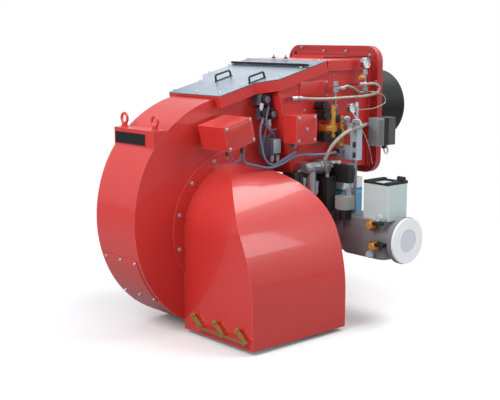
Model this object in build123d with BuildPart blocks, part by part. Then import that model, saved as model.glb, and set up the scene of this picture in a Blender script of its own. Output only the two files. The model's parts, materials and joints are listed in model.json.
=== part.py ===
"""Dual-fuel monoblock boiler burner.

Frame: +Y is the flame direction, +X is the air-intake side, +Z is up.
The origin is on the flame axis, in the boiler face of the mounting plate.
All lengths are millimetres.
"""
from build123d import *
import math
import os

os.makedirs("parts", exist_ok=True)

# ---- driving dimensions -------------------------------------------------
plate_size = 720.0
plate_thickness = 40.0
plate_corner = 88.0
bolt_half_x = 300.0
bolt_half_z = 310.0
bolt_hole_radius = 13.5

tube_radius = 210.0
tube_wall = 7.0
tube_length = 380.0

hinge_x = -345.0
hinge_y = -62.0
hinge_z = 230.0
hinge_pin_radius = 8.0

housing_half_width = 300.0
housing_top = 285.0
housing_bottom = -310.0
housing_wall = 7.0
flange_thickness = 22.0
flange_gap = 0.4

hatch_front_y = -1074.0
hatch_front_z = 119.0
hatch_rear_y = -411.0
hatch_split_y = -547.0
hatch_narrow = 213.0
hatch_wide = 315.0
hatch_angle = math.degrees(math.atan2(housing_top - hatch_front_z, hatch_rear_y - hatch_front_y))
cover_thickness = 4.0
gasket_thickness = 3.0
frame_depth = 55.0

fan_y = -956.0
fan_z = -560.0
scroll_half_width = 167.0
scroll_wall = 5.0
volute_start = 11.0
volute_end = 300.0
impeller_radius = 350.0
eye_radius = 222.0
shaft_radius = 24.0
running_clearance = 0.05
seat_clearance = 0.3

ledge_front = -1457.0
ledge_top = -39.0
ledge_bottom = -134.0

hood_radius = 321.0
hood_outer_x = 690.0
hood_bottom = -1066.0
hood_spring_z = -880.0
hood_wall = 4.0
ring_radius = 392.0
ring_thickness = 8.0

blade_pitch = 170.0
blade_first_x = 260.0
blade_chord = 166.0
blade_z = -975.0
blade_shaft_radius = 8.0
arm_reach = 74.0

train_y = -294.0
train_z = -645.0
train_end_x = 800.0
train_start_x = 320.0
pipe_bore = 62.5
pipe_outer = 70.0
gas_flange_radius = 125.0
gas_bolt_circle = 105.0
gas_bolt_hole = 9.0
gas_flange_thickness = 24.0

slope = math.radians(hatch_angle)
hatch_plane = Plane(
    origin=(0, hatch_front_y, hatch_front_z),
    x_dir=(1, 0, 0),
    z_dir=(0, -math.sin(slope), math.cos(slope)),
)


# ---- small helpers ------------------------------------------------------
def block(x0, x1, y0, y1, z0, z1, mode=Mode.ADD):
    """Box between two corners."""
    with Locations(((x0 + x1) / 2, (y0 + y1) / 2, (z0 + z1) / 2)):
        Box(x1 - x0, y1 - y0, z1 - z0, mode=mode)


def rod_x(x0, x1, y, z, radius, mode=Mode.ADD):
    """Cylinder along X."""
    with Locations(Location(((x0 + x1) / 2, y, z), (0, 90, 0))):
        Cylinder(radius, x1 - x0, mode=mode)


def rod_y(x, y0, y1, z, radius, mode=Mode.ADD):
    """Cylinder along Y."""
    with Locations(Location((x, (y0 + y1) / 2, z), (90, 0, 0))):
        Cylinder(radius, y1 - y0, mode=mode)


def rod_z(x, y, z0, z1, radius, mode=Mode.ADD):
    """Cylinder along Z."""
    with Locations((x, y, (z0 + z1) / 2)):
        Cylinder(radius, z1 - z0, mode=mode)


def bolt_ring_x(x0, x1, y, z, circle, radius, count, mode=Mode.ADD):
    """Cylinders along X spaced on a circle, straddling the vertical."""
    for index in range(count):
        turn = math.radians(360 / count * (index + 0.5))
        rod_x(x0, x1, y + circle * math.cos(turn), z + circle * math.sin(turn), radius, mode)


def slope_z(y, offset=0.0):
    """Height of the hatch plane at y, moved along its own normal."""
    return hatch_front_z + (y - hatch_front_y) * math.tan(slope) + offset / math.cos(slope)


def volute_radius(angle):
    """Scroll radius; angle in degrees from the top towards the back."""
    if angle < 52:
        return 676.0 - 0.30 * angle
    return 660.4 - 1.08 * (angle - 52)


def volute_point(angle, inset=0.0):
    """Scroll point as (y, z)."""
    radius = volute_radius(angle) - inset
    turn = math.radians(angle)
    return (fan_y - radius * math.sin(turn), fan_z + radius * math.cos(turn))


def profile_yz(points, x):
    """Face from straight (y, z) points on the plane at x."""
    with BuildSketch(Plane.YZ.offset(x)) as face:
        with BuildLine():
            Polyline(*points, close=True)
        make_face()
    return face.sketch


def bend(points, radii, radius):
    """Round tube of the given radius along straight runs joined by arcs."""
    with BuildLine() as path:
        FilletPolyline(*points, radius=radii)
    with BuildSketch(path.line ^ 0) as section:
        Circle(radius)
    sweep(section.sketch, path=path.line)


def arcs(points):
    """Largest tidy bend radius at each inner point of a route."""
    found = []
    for before, here, after in zip(points, points[1:], points[2:]):
        a = Vector(*here) - Vector(*before)
        b = Vector(*after) - Vector(*here)
        half_turn = math.radians(a.get_angle(b)) / 2
        found.append(0.45 * min(a.length, b.length) / math.tan(half_turn))
    return found


def save(part, name):
    """Name and write one sub-part."""
    part.label = name
    export_step(part, "parts/" + name + ".step")


# ---- boiler side --------------------------------------------------------
with BuildPart() as mounting_plate:
    with BuildSketch(Plane.XZ):
        RectangleRounded(plate_size, plate_size, plate_corner)
        Circle(tube_radius + seat_clearance, mode=Mode.SUBTRACT)
        with GridLocations(2 * bolt_half_x, 2 * bolt_half_z, 2, 2):
            Circle(bolt_hole_radius, mode=Mode.SUBTRACT)
    extrude(amount=plate_thickness)
    with BuildSketch(Plane.XZ.offset(plate_thickness)):
        RectangleRounded(plate_size - 26, plate_size - 26, plate_corner - 13)
        Rectangle(2 * hatch_wide + 24, 640, mode=Mode.SUBTRACT)
        with GridLocations(2 * bolt_half_x, 2 * bolt_half_z, 2, 2):
            Circle(34, mode=Mode.SUBTRACT)
    extrude(amount=-5, mode=Mode.SUBTRACT)
save(mounting_plate.part, "mounting_plate")

with BuildPart() as flame_tube:
    with BuildSketch(Plane.XY):
        with BuildLine():
            Polyline(
                (tube_radius - tube_wall, -plate_thickness),
                (tube_radius, -plate_thickness),
                (tube_radius, tube_length),
                (tube_radius - 24, tube_length),
                (tube_radius - 24, tube_length - 6),
                (tube_radius - tube_wall, tube_length - 30),
                close=True,
            )
        make_face()
    revolve(axis=Axis.Y)
save(flame_tube.part, "flame_tube")

with BuildPart() as hinge_brackets:
    for side in (-1, 1):
        for step in (-18, 18):
            z = side * hinge_z + step
            block(hinge_x - 14, hinge_x + 14, hinge_y, -plate_thickness, z - 6, z + 6)
            rod_z(hinge_x, hinge_y, z - 6, z + 6, 14)
        rod_z(hinge_x, hinge_y, side * hinge_z - 30, side * hinge_z + 30, hinge_pin_radius)
        rod_z(hinge_x, hinge_y, side * hinge_z + 24, side * hinge_z + 30, 12)
save(hinge_brackets.part, "hinge_brackets")

# ---- head housing -------------------------------------------------------
flange_front = -(plate_thickness + flange_gap)
flange_back = flange_front - flange_thickness
rear_low = (-648.0, housing_bottom)
rear_high = (-761.0, slope_z(-761.0))
frame_underside = -(cover_thickness + gasket_thickness + frame_depth)


def rear_y(z):
    """Rear face of the head housing at height z."""
    share = (z - rear_low[1]) / (rear_high[1] - rear_low[1])
    return rear_low[0] + share * (rear_high[0] - rear_low[0])


rear_frame_z = 132.0
for attempt in range(20):
    rear_frame_z = slope_z(rear_y(rear_frame_z), frame_underside - seat_clearance)
frame_end_low = (
    hatch_rear_y + math.sin(slope) * -frame_underside + seat_clearance,
    housing_top + math.cos(slope) * frame_underside - seat_clearance,
)
housing_profile = [
    rear_low,
    (flange_back, housing_bottom),
    (flange_back, housing_top),
    (hatch_rear_y + seat_clearance, housing_top),
    frame_end_low,
    (rear_y(rear_frame_z), rear_frame_z),
]
inner_top = housing_top - housing_wall
housing_inside = [
    (rear_low[0] + 8, housing_bottom + housing_wall),
    (flange_back - housing_wall, housing_bottom + housing_wall),
    (flange_back - housing_wall, inner_top),
    (frame_end_low[0] + 8, inner_top),
    (frame_end_low[0] + 8, frame_end_low[1] + 12),
    (frame_end_low[0], frame_end_low[1] + 12),
    (rear_y(rear_frame_z) + 7, rear_frame_z + 12),
]

with BuildPart() as head_housing:
    extrude(profile_yz(housing_profile, -housing_half_width), amount=2 * housing_half_width)
    for side in (-1, 1):
        outer = side * hatch_wide
        inner = side * housing_half_width
        block(min(outer, inner), max(outer, inner), frame_end_low[0] + 2, flange_back,
              housing_top - frame_depth, housing_top)
    extrude(profile_yz(housing_inside, -housing_half_width + housing_wall),
            amount=2 * (housing_half_width - housing_wall), mode=Mode.SUBTRACT)
    with BuildSketch(Plane.XZ.offset(-flange_front)):
        with Locations((0, -10)):
            RectangleRounded(2 * hatch_wide, 620, 30)
    extrude(amount=flange_thickness)
    rod_y(0, flange_back - 20, flange_front + 1, 0, tube_radius - tube_wall, mode=Mode.SUBTRACT)
    block(-scroll_half_width + scroll_wall, scroll_half_width - scroll_wall, -790, -600,
          housing_bottom + 20, 128, mode=Mode.SUBTRACT)
    rod_z(0, train_y, housing_bottom - 20, housing_bottom + 3, 110)
    rod_z(0, train_y, housing_bottom - 30, housing_bottom + 30, pipe_bore, mode=Mode.SUBTRACT)
    for side in (-1, 1):
        z = side * hinge_z
        block(hinge_x, -hatch_wide + 5, hinge_y - 6, hinge_y + 8, z - 11.5, z + 11.5)
        rod_z(hinge_x, hinge_y, z - 11.5, z + 11.5, 14)
        rod_z(hinge_x, hinge_y, z - 12, z + 12, hinge_pin_radius + running_clearance,
              mode=Mode.SUBTRACT)
save(head_housing.part, "head_housing")

# hatch outline in the sloping plane
run = math.cos(slope)
flare_start = (-840.0 - hatch_front_y) / run
flare_end = (-761.0 - hatch_front_y) / run
split_at = (hatch_split_y - hatch_front_y) / run
rear_at = (hatch_rear_y - hatch_front_y) / run


def hatch_outline(inset):
    """Corner points of the hatch, stepped in by inset on every side."""
    return [
        (-hatch_narrow + inset, inset),
        (hatch_narrow - inset, inset),
        (hatch_narrow - inset, flare_start + inset * 0.4),
        (hatch_wide - inset, flare_end + inset * 0.4),
        (hatch_wide - inset, rear_at - inset),
        (-hatch_wide + inset, rear_at - inset),
        (-hatch_wide + inset, flare_end + inset * 0.4),
        (-hatch_narrow + inset, flare_start + inset * 0.4),
    ]


def opening_outline(inset):
    """Corner points of the hatch opening, stepped in by inset."""
    return [
        (-150 + inset, 12 + inset),
        (150 - inset, 12 + inset),
        (150 - inset, flare_end + 22 + inset),
        (285 - inset, flare_end + 22 + inset),
        (285 - inset, rear_at - 16 - inset),
        (-285 + inset, rear_at - 16 - inset),
        (-285 + inset, flare_end + 22 + inset),
        (-150 + inset, flare_end + 22 + inset),
    ]


with BuildPart() as hatch_frame:
    with BuildSketch(hatch_plane.offset(frame_underside)):
        Polygon(*hatch_outline(0), align=None)
    extrude(amount=frame_depth)
    with BuildSketch(hatch_plane.offset(frame_underside - 1)):
        Polygon(*opening_outline(0), align=None)
    extrude(amount=frame_depth + 2, mode=Mode.SUBTRACT)
save(hatch_frame.part, "hatch_frame")

with BuildPart() as hatch_gasket:
    with BuildSketch(hatch_plane.offset(-(cover_thickness + gasket_thickness))):
        Polygon(*hatch_outline(1.5), align=None)
        Polygon(*opening_outline(2), align=None, mode=Mode.SUBTRACT)
        with Locations((0, split_at)):
            Rectangle(2 * hatch_wide - 8, 34)
    extrude(amount=gasket_thickness)
    with BuildSketch(hatch_plane.offset(-cover_thickness)):
        with Locations((0, split_at)):
            Rectangle(2 * hatch_wide - 8, 9)
    extrude(amount=cover_thickness + 2)
save(hatch_gasket.part, "hatch_gasket")

with BuildPart() as hatch_front:
    with BuildSketch(hatch_plane.offset(-cover_thickness + seat_clearance)):
        Polygon(*hatch_outline(0), align=None)
        with Locations((0, split_at + 200 - 5)):
            Rectangle(2 * hatch_wide + 20, 400, mode=Mode.SUBTRACT)
    extrude(amount=cover_thickness)
save(hatch_front.part, "hatch_front")

with BuildPart() as hatch_rear:
    with BuildSketch(hatch_plane.offset(-cover_thickness + seat_clearance)):
        with Locations((0, (split_at + 5 + rear_at) / 2)):
            Rectangle(2 * hatch_wide, rear_at - split_at - 5)
    extrude(amount=cover_thickness)
save(hatch_rear.part, "hatch_rear")

handle_span = 106.0
handle_height = 34.0
handle_radius = 5.5
with BuildPart() as hatch_handles:
    for across in (-73.0, 200.0):
        near = 222.0
        base = hatch_plane.offset(seat_clearance)
        route = [
            (across, near, 0),
            (across, near, handle_height),
            (across, near + handle_span, handle_height),
            (across, near + handle_span, 0),
        ]
        bend([base.from_local_coords(p) for p in route], 12, handle_radius)
        with BuildSketch(base):
            with Locations((across, near + handle_span / 2)):
                Rectangle(12, handle_span + 14)
        extrude(amount=5)
save(hatch_handles.part, "hatch_handles")

# ---- scroll -------------------------------------------------------------
def scroll_profile(inset, x):
    """Side outline of the scroll on the plane at x."""
    angles = [volute_start + (volute_end - volute_start) * i / 24 for i in range(25)]
    rim = [volute_point(angle, inset) for angle in angles]
    low_y = rear_low[0] - 0.2
    top_y = rear_y(rear_frame_z) - 0.2
    front_y = hatch_front_y + math.sin(slope) * 62 + inset - 0.8
    with BuildSketch(Plane.YZ.offset(x)) as face:
        with BuildLine():
            rim_line = Spline(*rim)
            Polyline(
                rim_line @ 1,
                (low_y - inset * 0.2, housing_bottom + inset),
                (top_y, rear_frame_z + inset * 2),
                (front_y, slope_z(front_y, frame_underside - seat_clearance) + inset * 2),
                rim_line @ 0,
            )
        make_face()
    return face.sketch


with BuildPart() as scroll_casing:
    extrude(scroll_profile(0.0, -scroll_half_width), amount=2 * scroll_half_width)
    extrude(scroll_profile(scroll_wall, -scroll_half_width + scroll_wall),
            amount=2 * (scroll_half_width - scroll_wall), mode=Mode.SUBTRACT)
    block(-150, 150, hatch_front_y + 40, -775, 20, 220, mode=Mode.SUBTRACT)
    with BuildSketch(Plane.YZ.offset(-scroll_half_width + scroll_wall)):
        with BuildLine():
            Polyline(
                (rear_low[0] - 60, housing_bottom + 20),
                (rear_low[0] + 60, housing_bottom + 20),
                (rear_y(110) + 60, 110),
                (rear_y(110) - 60, 110),
                close=True,
            )
        make_face()
    extrude(amount=2 * (scroll_half_width - scroll_wall), mode=Mode.SUBTRACT)
    rod_x(scroll_half_width - 20, scroll_half_width + 5, fan_y, fan_z, eye_radius + 47,
          mode=Mode.SUBTRACT)
    rod_x(-scroll_half_width - 5, -scroll_half_width + 20, fan_y, fan_z, 120, mode=Mode.SUBTRACT)
save(scroll_casing.part, "scroll_casing")

with BuildPart() as lifting_ledge:
    with BuildSketch(Plane.YZ.offset(-scroll_half_width)):
        with BuildLine():
            under = Spline(*[volute_point(a, -seat_clearance) for a in (38.3, 42, 46, 49.2)])
            foot = under @ 1
            head = under @ 0
            Polyline((foot.X, foot.Y), (ledge_front, ledge_top), (head.X, head.Y))
        make_face()
    extrude(amount=2 * scroll_half_width)
    for side in (-1, 1):
        rod_z(side * 130, ledge_front + 38, ledge_top, ledge_top + 6, 20)
save(lifting_ledge.part, "lifting_ledge")

with BuildPart() as name_plate:
    block(-156, 99, ledge_front - 3.3, ledge_front - 0.3, ledge_bottom + 18, ledge_top - 20)
save(name_plate.part, "name_plate")

with BuildPart() as eyebolts:
    for side in (-1, 1):
        rod_z(side * 130, ledge_front + 38, ledge_top + 6.3, ledge_top + 20, 15)
        with Locations(Location((side * 130, ledge_front + 38, ledge_top + 44), (90, 0, 0))):
            Torus(25, 7)
save(eyebolts.part, "eyebolts")

with BuildPart() as rim_cover:
    angles = [101, 106, 111, 116, 121, 126]
    outer_rim = [volute_point(a, -4.3) for a in angles]
    inner_rim = [volute_point(a, -0.3) for a in angles]
    with BuildSketch(Plane.YZ.offset(-140)):
        with BuildLine():
            first = Spline(*outer_rim)
            second = Spline(*inner_rim)
            Line(first @ 0, second @ 0)
            Line(first @ 1, second @ 1)
        make_face()
    extrude(amount=280)
save(rim_cover.part, "rim_cover")

# ---- air intake ---------------------------------------------------------
def arch(radius, foot, x):
    """D-shaped outline: half circle on straight legs."""
    with BuildSketch(Plane.YZ.offset(x)) as face:
        with BuildLine():
            Line((fan_y - radius, foot), (fan_y - radius, fan_z))
            ThreePointArc((fan_y - radius, fan_z), (fan_y, fan_z + radius), (fan_y + radius, fan_z))
            Line((fan_y + radius, fan_z), (fan_y + radius, foot))
            Line((fan_y + radius, foot), (fan_y - radius, foot))
        make_face()
    return face.sketch


def elbow(outset, near_x):
    """Elbow outline seen along Y: upright front that rolls back to the wall."""
    reach = hood_outer_x - outset - scroll_half_width
    rise = fan_z + hood_radius - outset - hood_spring_z
    with BuildSketch(Plane.XZ.offset(-(fan_y + hood_radius + 40))) as face:
        with BuildLine():
            steps = 16
            curve = [
                (scroll_half_width + reach * math.cos(math.radians(90 * i / steps)),
                 hood_spring_z + rise * math.sin(math.radians(90 * i / steps)))
                for i in range(steps)
            ]
            curve.append((scroll_half_width, hood_spring_z + rise))
            roof = Spline(*curve, tangents=((0, 1), (-1, 0)))
            Polyline(
                roof @ 0,
                (hood_outer_x - outset, hood_bottom - outset),
                (near_x, hood_bottom - outset),
                (near_x, hood_spring_z + rise),
                roof @ 1,
            )
        make_face()
    return face.sketch


with BuildPart() as hood_core:
    extrude(arch(hood_radius - hood_wall, hood_bottom - 30, scroll_half_width - 30),
            amount=hood_outer_x)
    extrude(elbow(hood_wall, scroll_half_width - 20), amount=2 * hood_radius + 80,
            mode=Mode.INTERSECT)

with BuildPart() as intake_hood:
    extrude(arch(hood_radius, hood_bottom, scroll_half_width + seat_clearance),
            amount=hood_outer_x)
    extrude(elbow(0, scroll_half_width - 10), amount=2 * hood_radius + 80, mode=Mode.INTERSECT)
    add(hood_core.part, mode=Mode.SUBTRACT)
    with BuildSketch(Plane.YZ.offset(scroll_half_width + seat_clearance)):
        with Locations(((fan_y + fan_y) / 2, (hood_bottom - 790) / 2)):
            Rectangle(2 * (hood_radius - hood_wall), -790 - hood_bottom)
        with Locations((fan_y, fan_z)):
            Circle(292, mode=Mode.SUBTRACT)
    extrude(amount=3)
    for index in range(3):
        x = blade_first_x + index * blade_pitch
        rod_y(x, fan_y - hood_radius - 8, fan_y - hood_radius, blade_z, 14)
        rod_y(x, fan_y + hood_radius, fan_y + hood_radius + 8, blade_z, 14)
        rod_y(x, fan_y - hood_radius - 10, fan_y + hood_radius + 10, blade_z,
              blade_shaft_radius + running_clearance, mode=Mode.SUBTRACT)
save(intake_hood.part, "intake_hood")

with BuildPart() as intake_ring:
    rod_x(scroll_half_width + seat_clearance, scroll_half_width + seat_clearance + ring_thickness,
          fan_y, fan_z, ring_radius)
    extrude(arch(hood_radius + seat_clearance, fan_z - ring_radius - 5, scroll_half_width),
            amount=ring_thickness + 2, mode=Mode.SUBTRACT)
save(intake_ring.part, "intake_ring")

fan_axis = Axis((0, fan_y, fan_z), (1, 0, 0))
fan_plane = Plane(origin=(0, fan_y, fan_z), x_dir=(1, 0, 0), z_dir=(0, 1, 0))
with BuildPart() as inlet_cone:
    with BuildSketch(fan_plane):
        with BuildLine():
            Polyline((scroll_half_width + 0.3, 284), (scroll_half_width + 4.3, 284),
                     (scroll_half_width + 4.3, 262))
            Spline((scroll_half_width + 4.3, 262), (140, 233), (100, eye_radius),
                   tangents=((-0.6, -1), (-1, 0)))
            Line((100, eye_radius), (100, eye_radius + 3))
            Spline((100, eye_radius + 3), (137, 236), (scroll_half_width + 0.3, 266),
                   tangents=((1, 0), (0.6, 1)))
            Line((scroll_half_width + 0.3, 266), (scroll_half_width + 0.3, 284))
        make_face()
    revolve(axis=fan_axis)
save(inlet_cone.part, "inlet_cone")

# ---- fan ----------------------------------------------------------------
blade_count = 11
hub_face = -104.0
shroud_gap = 5.0


def shroud_profile(low, high):
    """Band between two offsets of the impeller shroud line."""
    with BuildSketch(fan_plane) as face:
        with BuildLine():
            Polyline(
                (92, eye_radius + 8 + low),
                (60, eye_radius + 14 + low),
                (34, 290 + low),
                (22, impeller_radius),
                (22 + high, impeller_radius),
                (38 + high * 0.5, 292 + high),
                (65, eye_radius + 16 + high),
                (92, eye_radius + 8 + high),
                close=True,
            )
        make_face()
    return face.sketch


with BuildPart() as blade_limit:
    with BuildSketch(fan_plane):
        with BuildLine():
            Polyline(
                (hub_face + seat_clearance, 185),
                (59.7, 185),
                (59.7, eye_radius + 13.8),
                (33.7, 289.8),
                (21.7, impeller_radius - 1),
                (hub_face + seat_clearance, impeller_radius - 1),
                close=True,
            )
        make_face()
    revolve(axis=fan_axis)

with BuildPart() as impeller_blades:
    with BuildSketch(Plane.YZ.offset(hub_face - 6)):
        for index in range(blade_count):
            turn = 360 / blade_count * index
            points = []
            for radius, lag in ((180, 0), (230, 12), (280, 27), (320, 41), (356, 55)):
                angle = math.radians(turn + lag)
                points.append((fan_y + radius * math.cos(angle), fan_z + radius * math.sin(angle)))
            inner = []
            for radius, lag in ((180, 1.2), (230, 13.0), (280, 27.9), (320, 41.8), (356, 55.7)):
                angle = math.radians(turn + lag)
                inner.append((fan_y + radius * math.cos(angle), fan_z + radius * math.sin(angle)))
            with BuildLine():
                one = Spline(*points)
                two = Spline(*inner)
                Line(one @ 0, two @ 0)
                Line(one @ 1, two @ 1)
            make_face()
    extrude(amount=200)
    add(blade_limit.part, mode=Mode.INTERSECT)
save(impeller_blades.part, "impeller_blades")

with BuildPart() as impeller:
    revolve(shroud_profile(0, 4), axis=fan_axis)
    rod_x(hub_face - 6, hub_face, fan_y, fan_z, impeller_radius)
    rod_x(hub_face - 40, hub_face + 46, fan_y, fan_z, 52)
    rod_x(hub_face - 60, hub_face + 60, fan_y, fan_z, shaft_radius, mode=Mode.SUBTRACT)
save(impeller.part, "impeller")

motor_face = -scroll_half_width
motor_end = -480.0
with BuildPart() as motor_frame:
    rod_x(motor_face - 20, motor_face - seat_clearance, fan_y, fan_z, 178)
    rod_x(motor_end, motor_face - 20, fan_y, fan_z, 140)
    rod_x(motor_end - 16, motor_end, fan_y, fan_z, 152)
    rod_x(motor_face - 44, motor_face - 20, fan_y, fan_z, 152)
    for index in range(30):
        turn = 12 * index
        with Locations(Location(((motor_face - 44 + motor_end) / 2, fan_y, fan_z), (turn, 0, 0))):
            with Locations((0, 0, 147)):
                Box(motor_face - 44 - motor_end, 3.5, 22)
    rod_x(motor_end - 20, motor_face + 5, fan_y, fan_z, shaft_radius + running_clearance,
          mode=Mode.SUBTRACT)
save(motor_frame.part, "motor_frame")

with BuildPart() as motor_cowl:
    rod_x(-630, motor_end - 16, fan_y, fan_z, 156)
    rod_x(-627, motor_end - 10, fan_y, fan_z, 152.3, mode=Mode.SUBTRACT)
    for ring in (50, 72, 94, 116):
        with BuildSketch(Plane.YZ.offset(-635)):
            with Locations((fan_y, fan_z)):
                Circle(ring + 6)
                Circle(ring - 6, mode=Mode.SUBTRACT)
                Rectangle(400, 14, mode=Mode.SUBTRACT)
                Rectangle(14, 400, mode=Mode.SUBTRACT)
        extrude(amount=12, mode=Mode.SUBTRACT)
save(motor_cowl.part, "motor_cowl")

with BuildPart() as motor_terminal_box:
    block(-400, -250, fan_y - 62, fan_y + 62, fan_z + 158.3, fan_z + 226)
    with BuildSketch(Plane.XY.offset(fan_z + 226)):
        with Locations((-325, fan_y)):
            RectangleRounded(158, 132, 10)
    extrude(amount=14)
    rod_y(-290, fan_y - 88, fan_y - 62, fan_z + 190, 14)
    rod_y(-350, fan_y - 88, fan_y - 62, fan_z + 190, 14)
save(motor_terminal_box.part, "motor_terminal_box")

with BuildPart() as fan_shaft:
    rod_x(-575, hub_face + 56, fan_y, fan_z, shaft_radius)
    rod_x(hub_face + 46 + seat_clearance, hub_face + 56, fan_y, fan_z, 40)
    rod_x(-560, -520, fan_y, fan_z, 40)
    for index in range(6):
        with Locations(Location((-540, fan_y, fan_z), (60 * index, 0, 0))):
            with Locations((0, 0, 80)):
                Box(36, 4, 92)
save(fan_shaft.part, "fan_shaft")

# ---- air dampers --------------------------------------------------------
arm_y = fan_y - hood_radius - 18
arm_drop = math.radians(40)
pin_dx = arm_reach * math.cos(arm_drop)
pin_dz = -arm_reach * math.sin(arm_drop)
for number in (1, 2, 3):
    x = blade_first_x + (number - 1) * blade_pitch
    with BuildPart() as damper_blade:
        block(x - blade_chord / 2, x + blade_chord / 2, fan_y - hood_radius + 8,
              fan_y + hood_radius - 8, blade_z - 1.5, blade_z + 1.5)
        rod_y(x, fan_y - hood_radius - 26, fan_y + hood_radius + 12, blade_z, blade_shaft_radius)
        rod_y(x, arm_y - 4, arm_y + 4, blade_z, 16)
        rod_y(x + pin_dx, arm_y - 4, arm_y + 4, blade_z + pin_dz, 13)
        with Locations(Location((x + pin_dx / 2, arm_y, blade_z + pin_dz / 2),
                                (0, math.degrees(arm_drop), 0))):
            Box(arm_reach, 7, 23)
        rod_y(x + pin_dx, arm_y - 14, arm_y, blade_z + pin_dz, 4)
    save(damper_blade.part, "damper_blade_" + str(number))

with BuildPart() as damper_tie_bar:
    block(blade_first_x + pin_dx, blade_first_x + 2 * blade_pitch + pin_dx, arm_y - 12, arm_y - 6,
          blade_z + pin_dz - 5, blade_z + pin_dz + 5)
    for index in range(3):
        x = blade_first_x + index * blade_pitch + pin_dx
        rod_y(x, arm_y - 12, arm_y - 6, blade_z + pin_dz, 11)
        rod_y(x, arm_y - 14, arm_y - 4, blade_z + pin_dz, 4 + running_clearance,
              mode=Mode.SUBTRACT)
save(damper_tie_bar.part, "damper_tie_bar")

# ---- gas train ----------------------------------------------------------
riser_top = housing_bottom - 20
butterfly_height = 70.0
butterfly_bottom = riser_top - butterfly_height
elbow_radius = 120.0
with BuildPart() as gas_elbow:
    rod_x(train_start_x - 24, train_start_x - seat_clearance, train_y, train_z, gas_flange_radius)
    rod_z(0, train_y, butterfly_bottom - 24, butterfly_bottom - seat_clearance, 105)
    pipe = [
        (train_start_x - 10, train_y, train_z),
        (0, train_y, train_z),
        (0, train_y, butterfly_bottom - 12),
    ]
    bend(pipe, elbow_radius, pipe_outer)
    rod_x(elbow_radius, train_start_x + 1, train_y, train_z, pipe_bore, mode=Mode.SUBTRACT)
    rod_z(0, train_y, train_z + elbow_radius, butterfly_bottom + 1, pipe_bore, mode=Mode.SUBTRACT)
    with BuildSketch(Plane.YZ.offset(elbow_radius)):
        with Locations((train_y, train_z)):
            Circle(pipe_bore)
    bore_axis = Axis((elbow_radius, train_y, train_z + elbow_radius), (0, -1, 0))
    revolve(axis=bore_axis, revolution_arc=-90, mode=Mode.SUBTRACT)
save(gas_elbow.part, "gas_elbow")

disc_z = butterfly_bottom + butterfly_height / 2
with BuildPart() as butterfly_body:
    rod_z(0, train_y, butterfly_bottom, riser_top - seat_clearance, 100)
    rod_x(90, 150, train_y, disc_z, 22)
    block(150, 152, train_y - 40, train_y + 40, disc_z - 34, disc_z + 34)
    rod_z(0, train_y, butterfly_bottom - 1, riser_top + 1, pipe_bore, mode=Mode.SUBTRACT)
    rod_x(-pipe_bore - 20, 240, train_y, disc_z, 8 + running_clearance, mode=Mode.SUBTRACT)
    block(196, 270, train_y - 48, train_y + 48, disc_z - 26, disc_z + 40)
    block(150, 200, train_y - 40, train_y - 30, disc_z - 26, disc_z + 34)
    block(150, 200, train_y + 30, train_y + 40, disc_z - 26, disc_z + 34)
save(butterfly_body.part, "butterfly_body")

with BuildPart() as butterfly_disc:
    rod_z(0, train_y, disc_z - 3, disc_z + 3, pipe_bore - 0.6)
    rod_x(-pipe_bore - 18, 190, train_y, disc_z, 8)
save(butterfly_disc.part, "butterfly_disc")

with BuildPart() as valve_body:
    rod_x(train_start_x, train_start_x + gas_flange_thickness, train_y, train_z, gas_flange_radius)
    rod_x(train_end_x - gas_flange_thickness, train_end_x, train_y, train_z, gas_flange_radius)
    with BuildSketch(Plane.XY.offset(train_z - 112)):
        with Locations(((train_start_x + train_end_x) / 2 + 10, train_y)):
            RectangleRounded(330, 196, 60)
    extrude(amount=212)
    rod_x(train_start_x + 10, train_end_x - 10, train_y, train_z, 96)
    top_edges = valve_body.faces().sort_by(Axis.Z)[0].edges()
    fillet(top_edges, radius=26)
    bolt_ring_x(train_start_x - 1, train_start_x + 26, train_y, train_z, gas_bolt_circle,
                gas_bolt_hole, 8, mode=Mode.SUBTRACT)
    bolt_ring_x(train_end_x - 25, train_end_x + 1, train_y, train_z, gas_bolt_circle,
                gas_bolt_hole, 8, mode=Mode.SUBTRACT)
    rod_x(train_start_x - 1, train_end_x + 1, train_y, train_z, pipe_bore, mode=Mode.SUBTRACT)
save(valve_body.part, "valve_body")

valve_top = train_z + 100
with BuildPart() as valve_actuator:
    with BuildSketch(Plane.XY.offset(valve_top + seat_clearance)):
        with Locations((649, -292)):
            RectangleRounded(180, 156, 12)
    extrude(amount=190)
    rod_z(649, -292, valve_top + seat_clearance, valve_top + 12, 88)
save(valve_actuator.part, "valve_actuator")

actuator_top = valve_top + seat_clearance + 190
with BuildPart() as valve_governor:
    with BuildSketch(Plane.XY.offset(valve_top + seat_clearance)):
        with Locations((383, -292)):
            RectangleRounded(72, 156, 8)
    extrude(amount=190)
save(valve_governor.part, "valve_governor")

with BuildPart() as actuator_bracket:
    block(566, 736, -372, -356, actuator_top + seat_clearance, actuator_top + 10)
    block(566, 736, -228, -212, actuator_top + seat_clearance, actuator_top + 10)
    block(566, 590, -372, -212, actuator_top + seat_clearance, actuator_top + 16)
    block(712, 736, -372, -212, actuator_top + seat_clearance, actuator_top + 16)
    rod_x(700, 742, -250, actuator_top + 26, 13)
    rod_z(724, -250, actuator_top + 10, actuator_top + 20, 12)
save(actuator_bracket.part, "actuator_bracket")

body_side = train_y - 98
with BuildPart() as gas_pressure_switch:
    rod_z(468, -424, -560, -504, 30)
    block(440, 500, -424, body_side - seat_clearance, -556, -512)
    block(430, 512, -448, -380, -504, -432)
save(gas_pressure_switch.part, "gas_pressure_switch")

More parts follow.
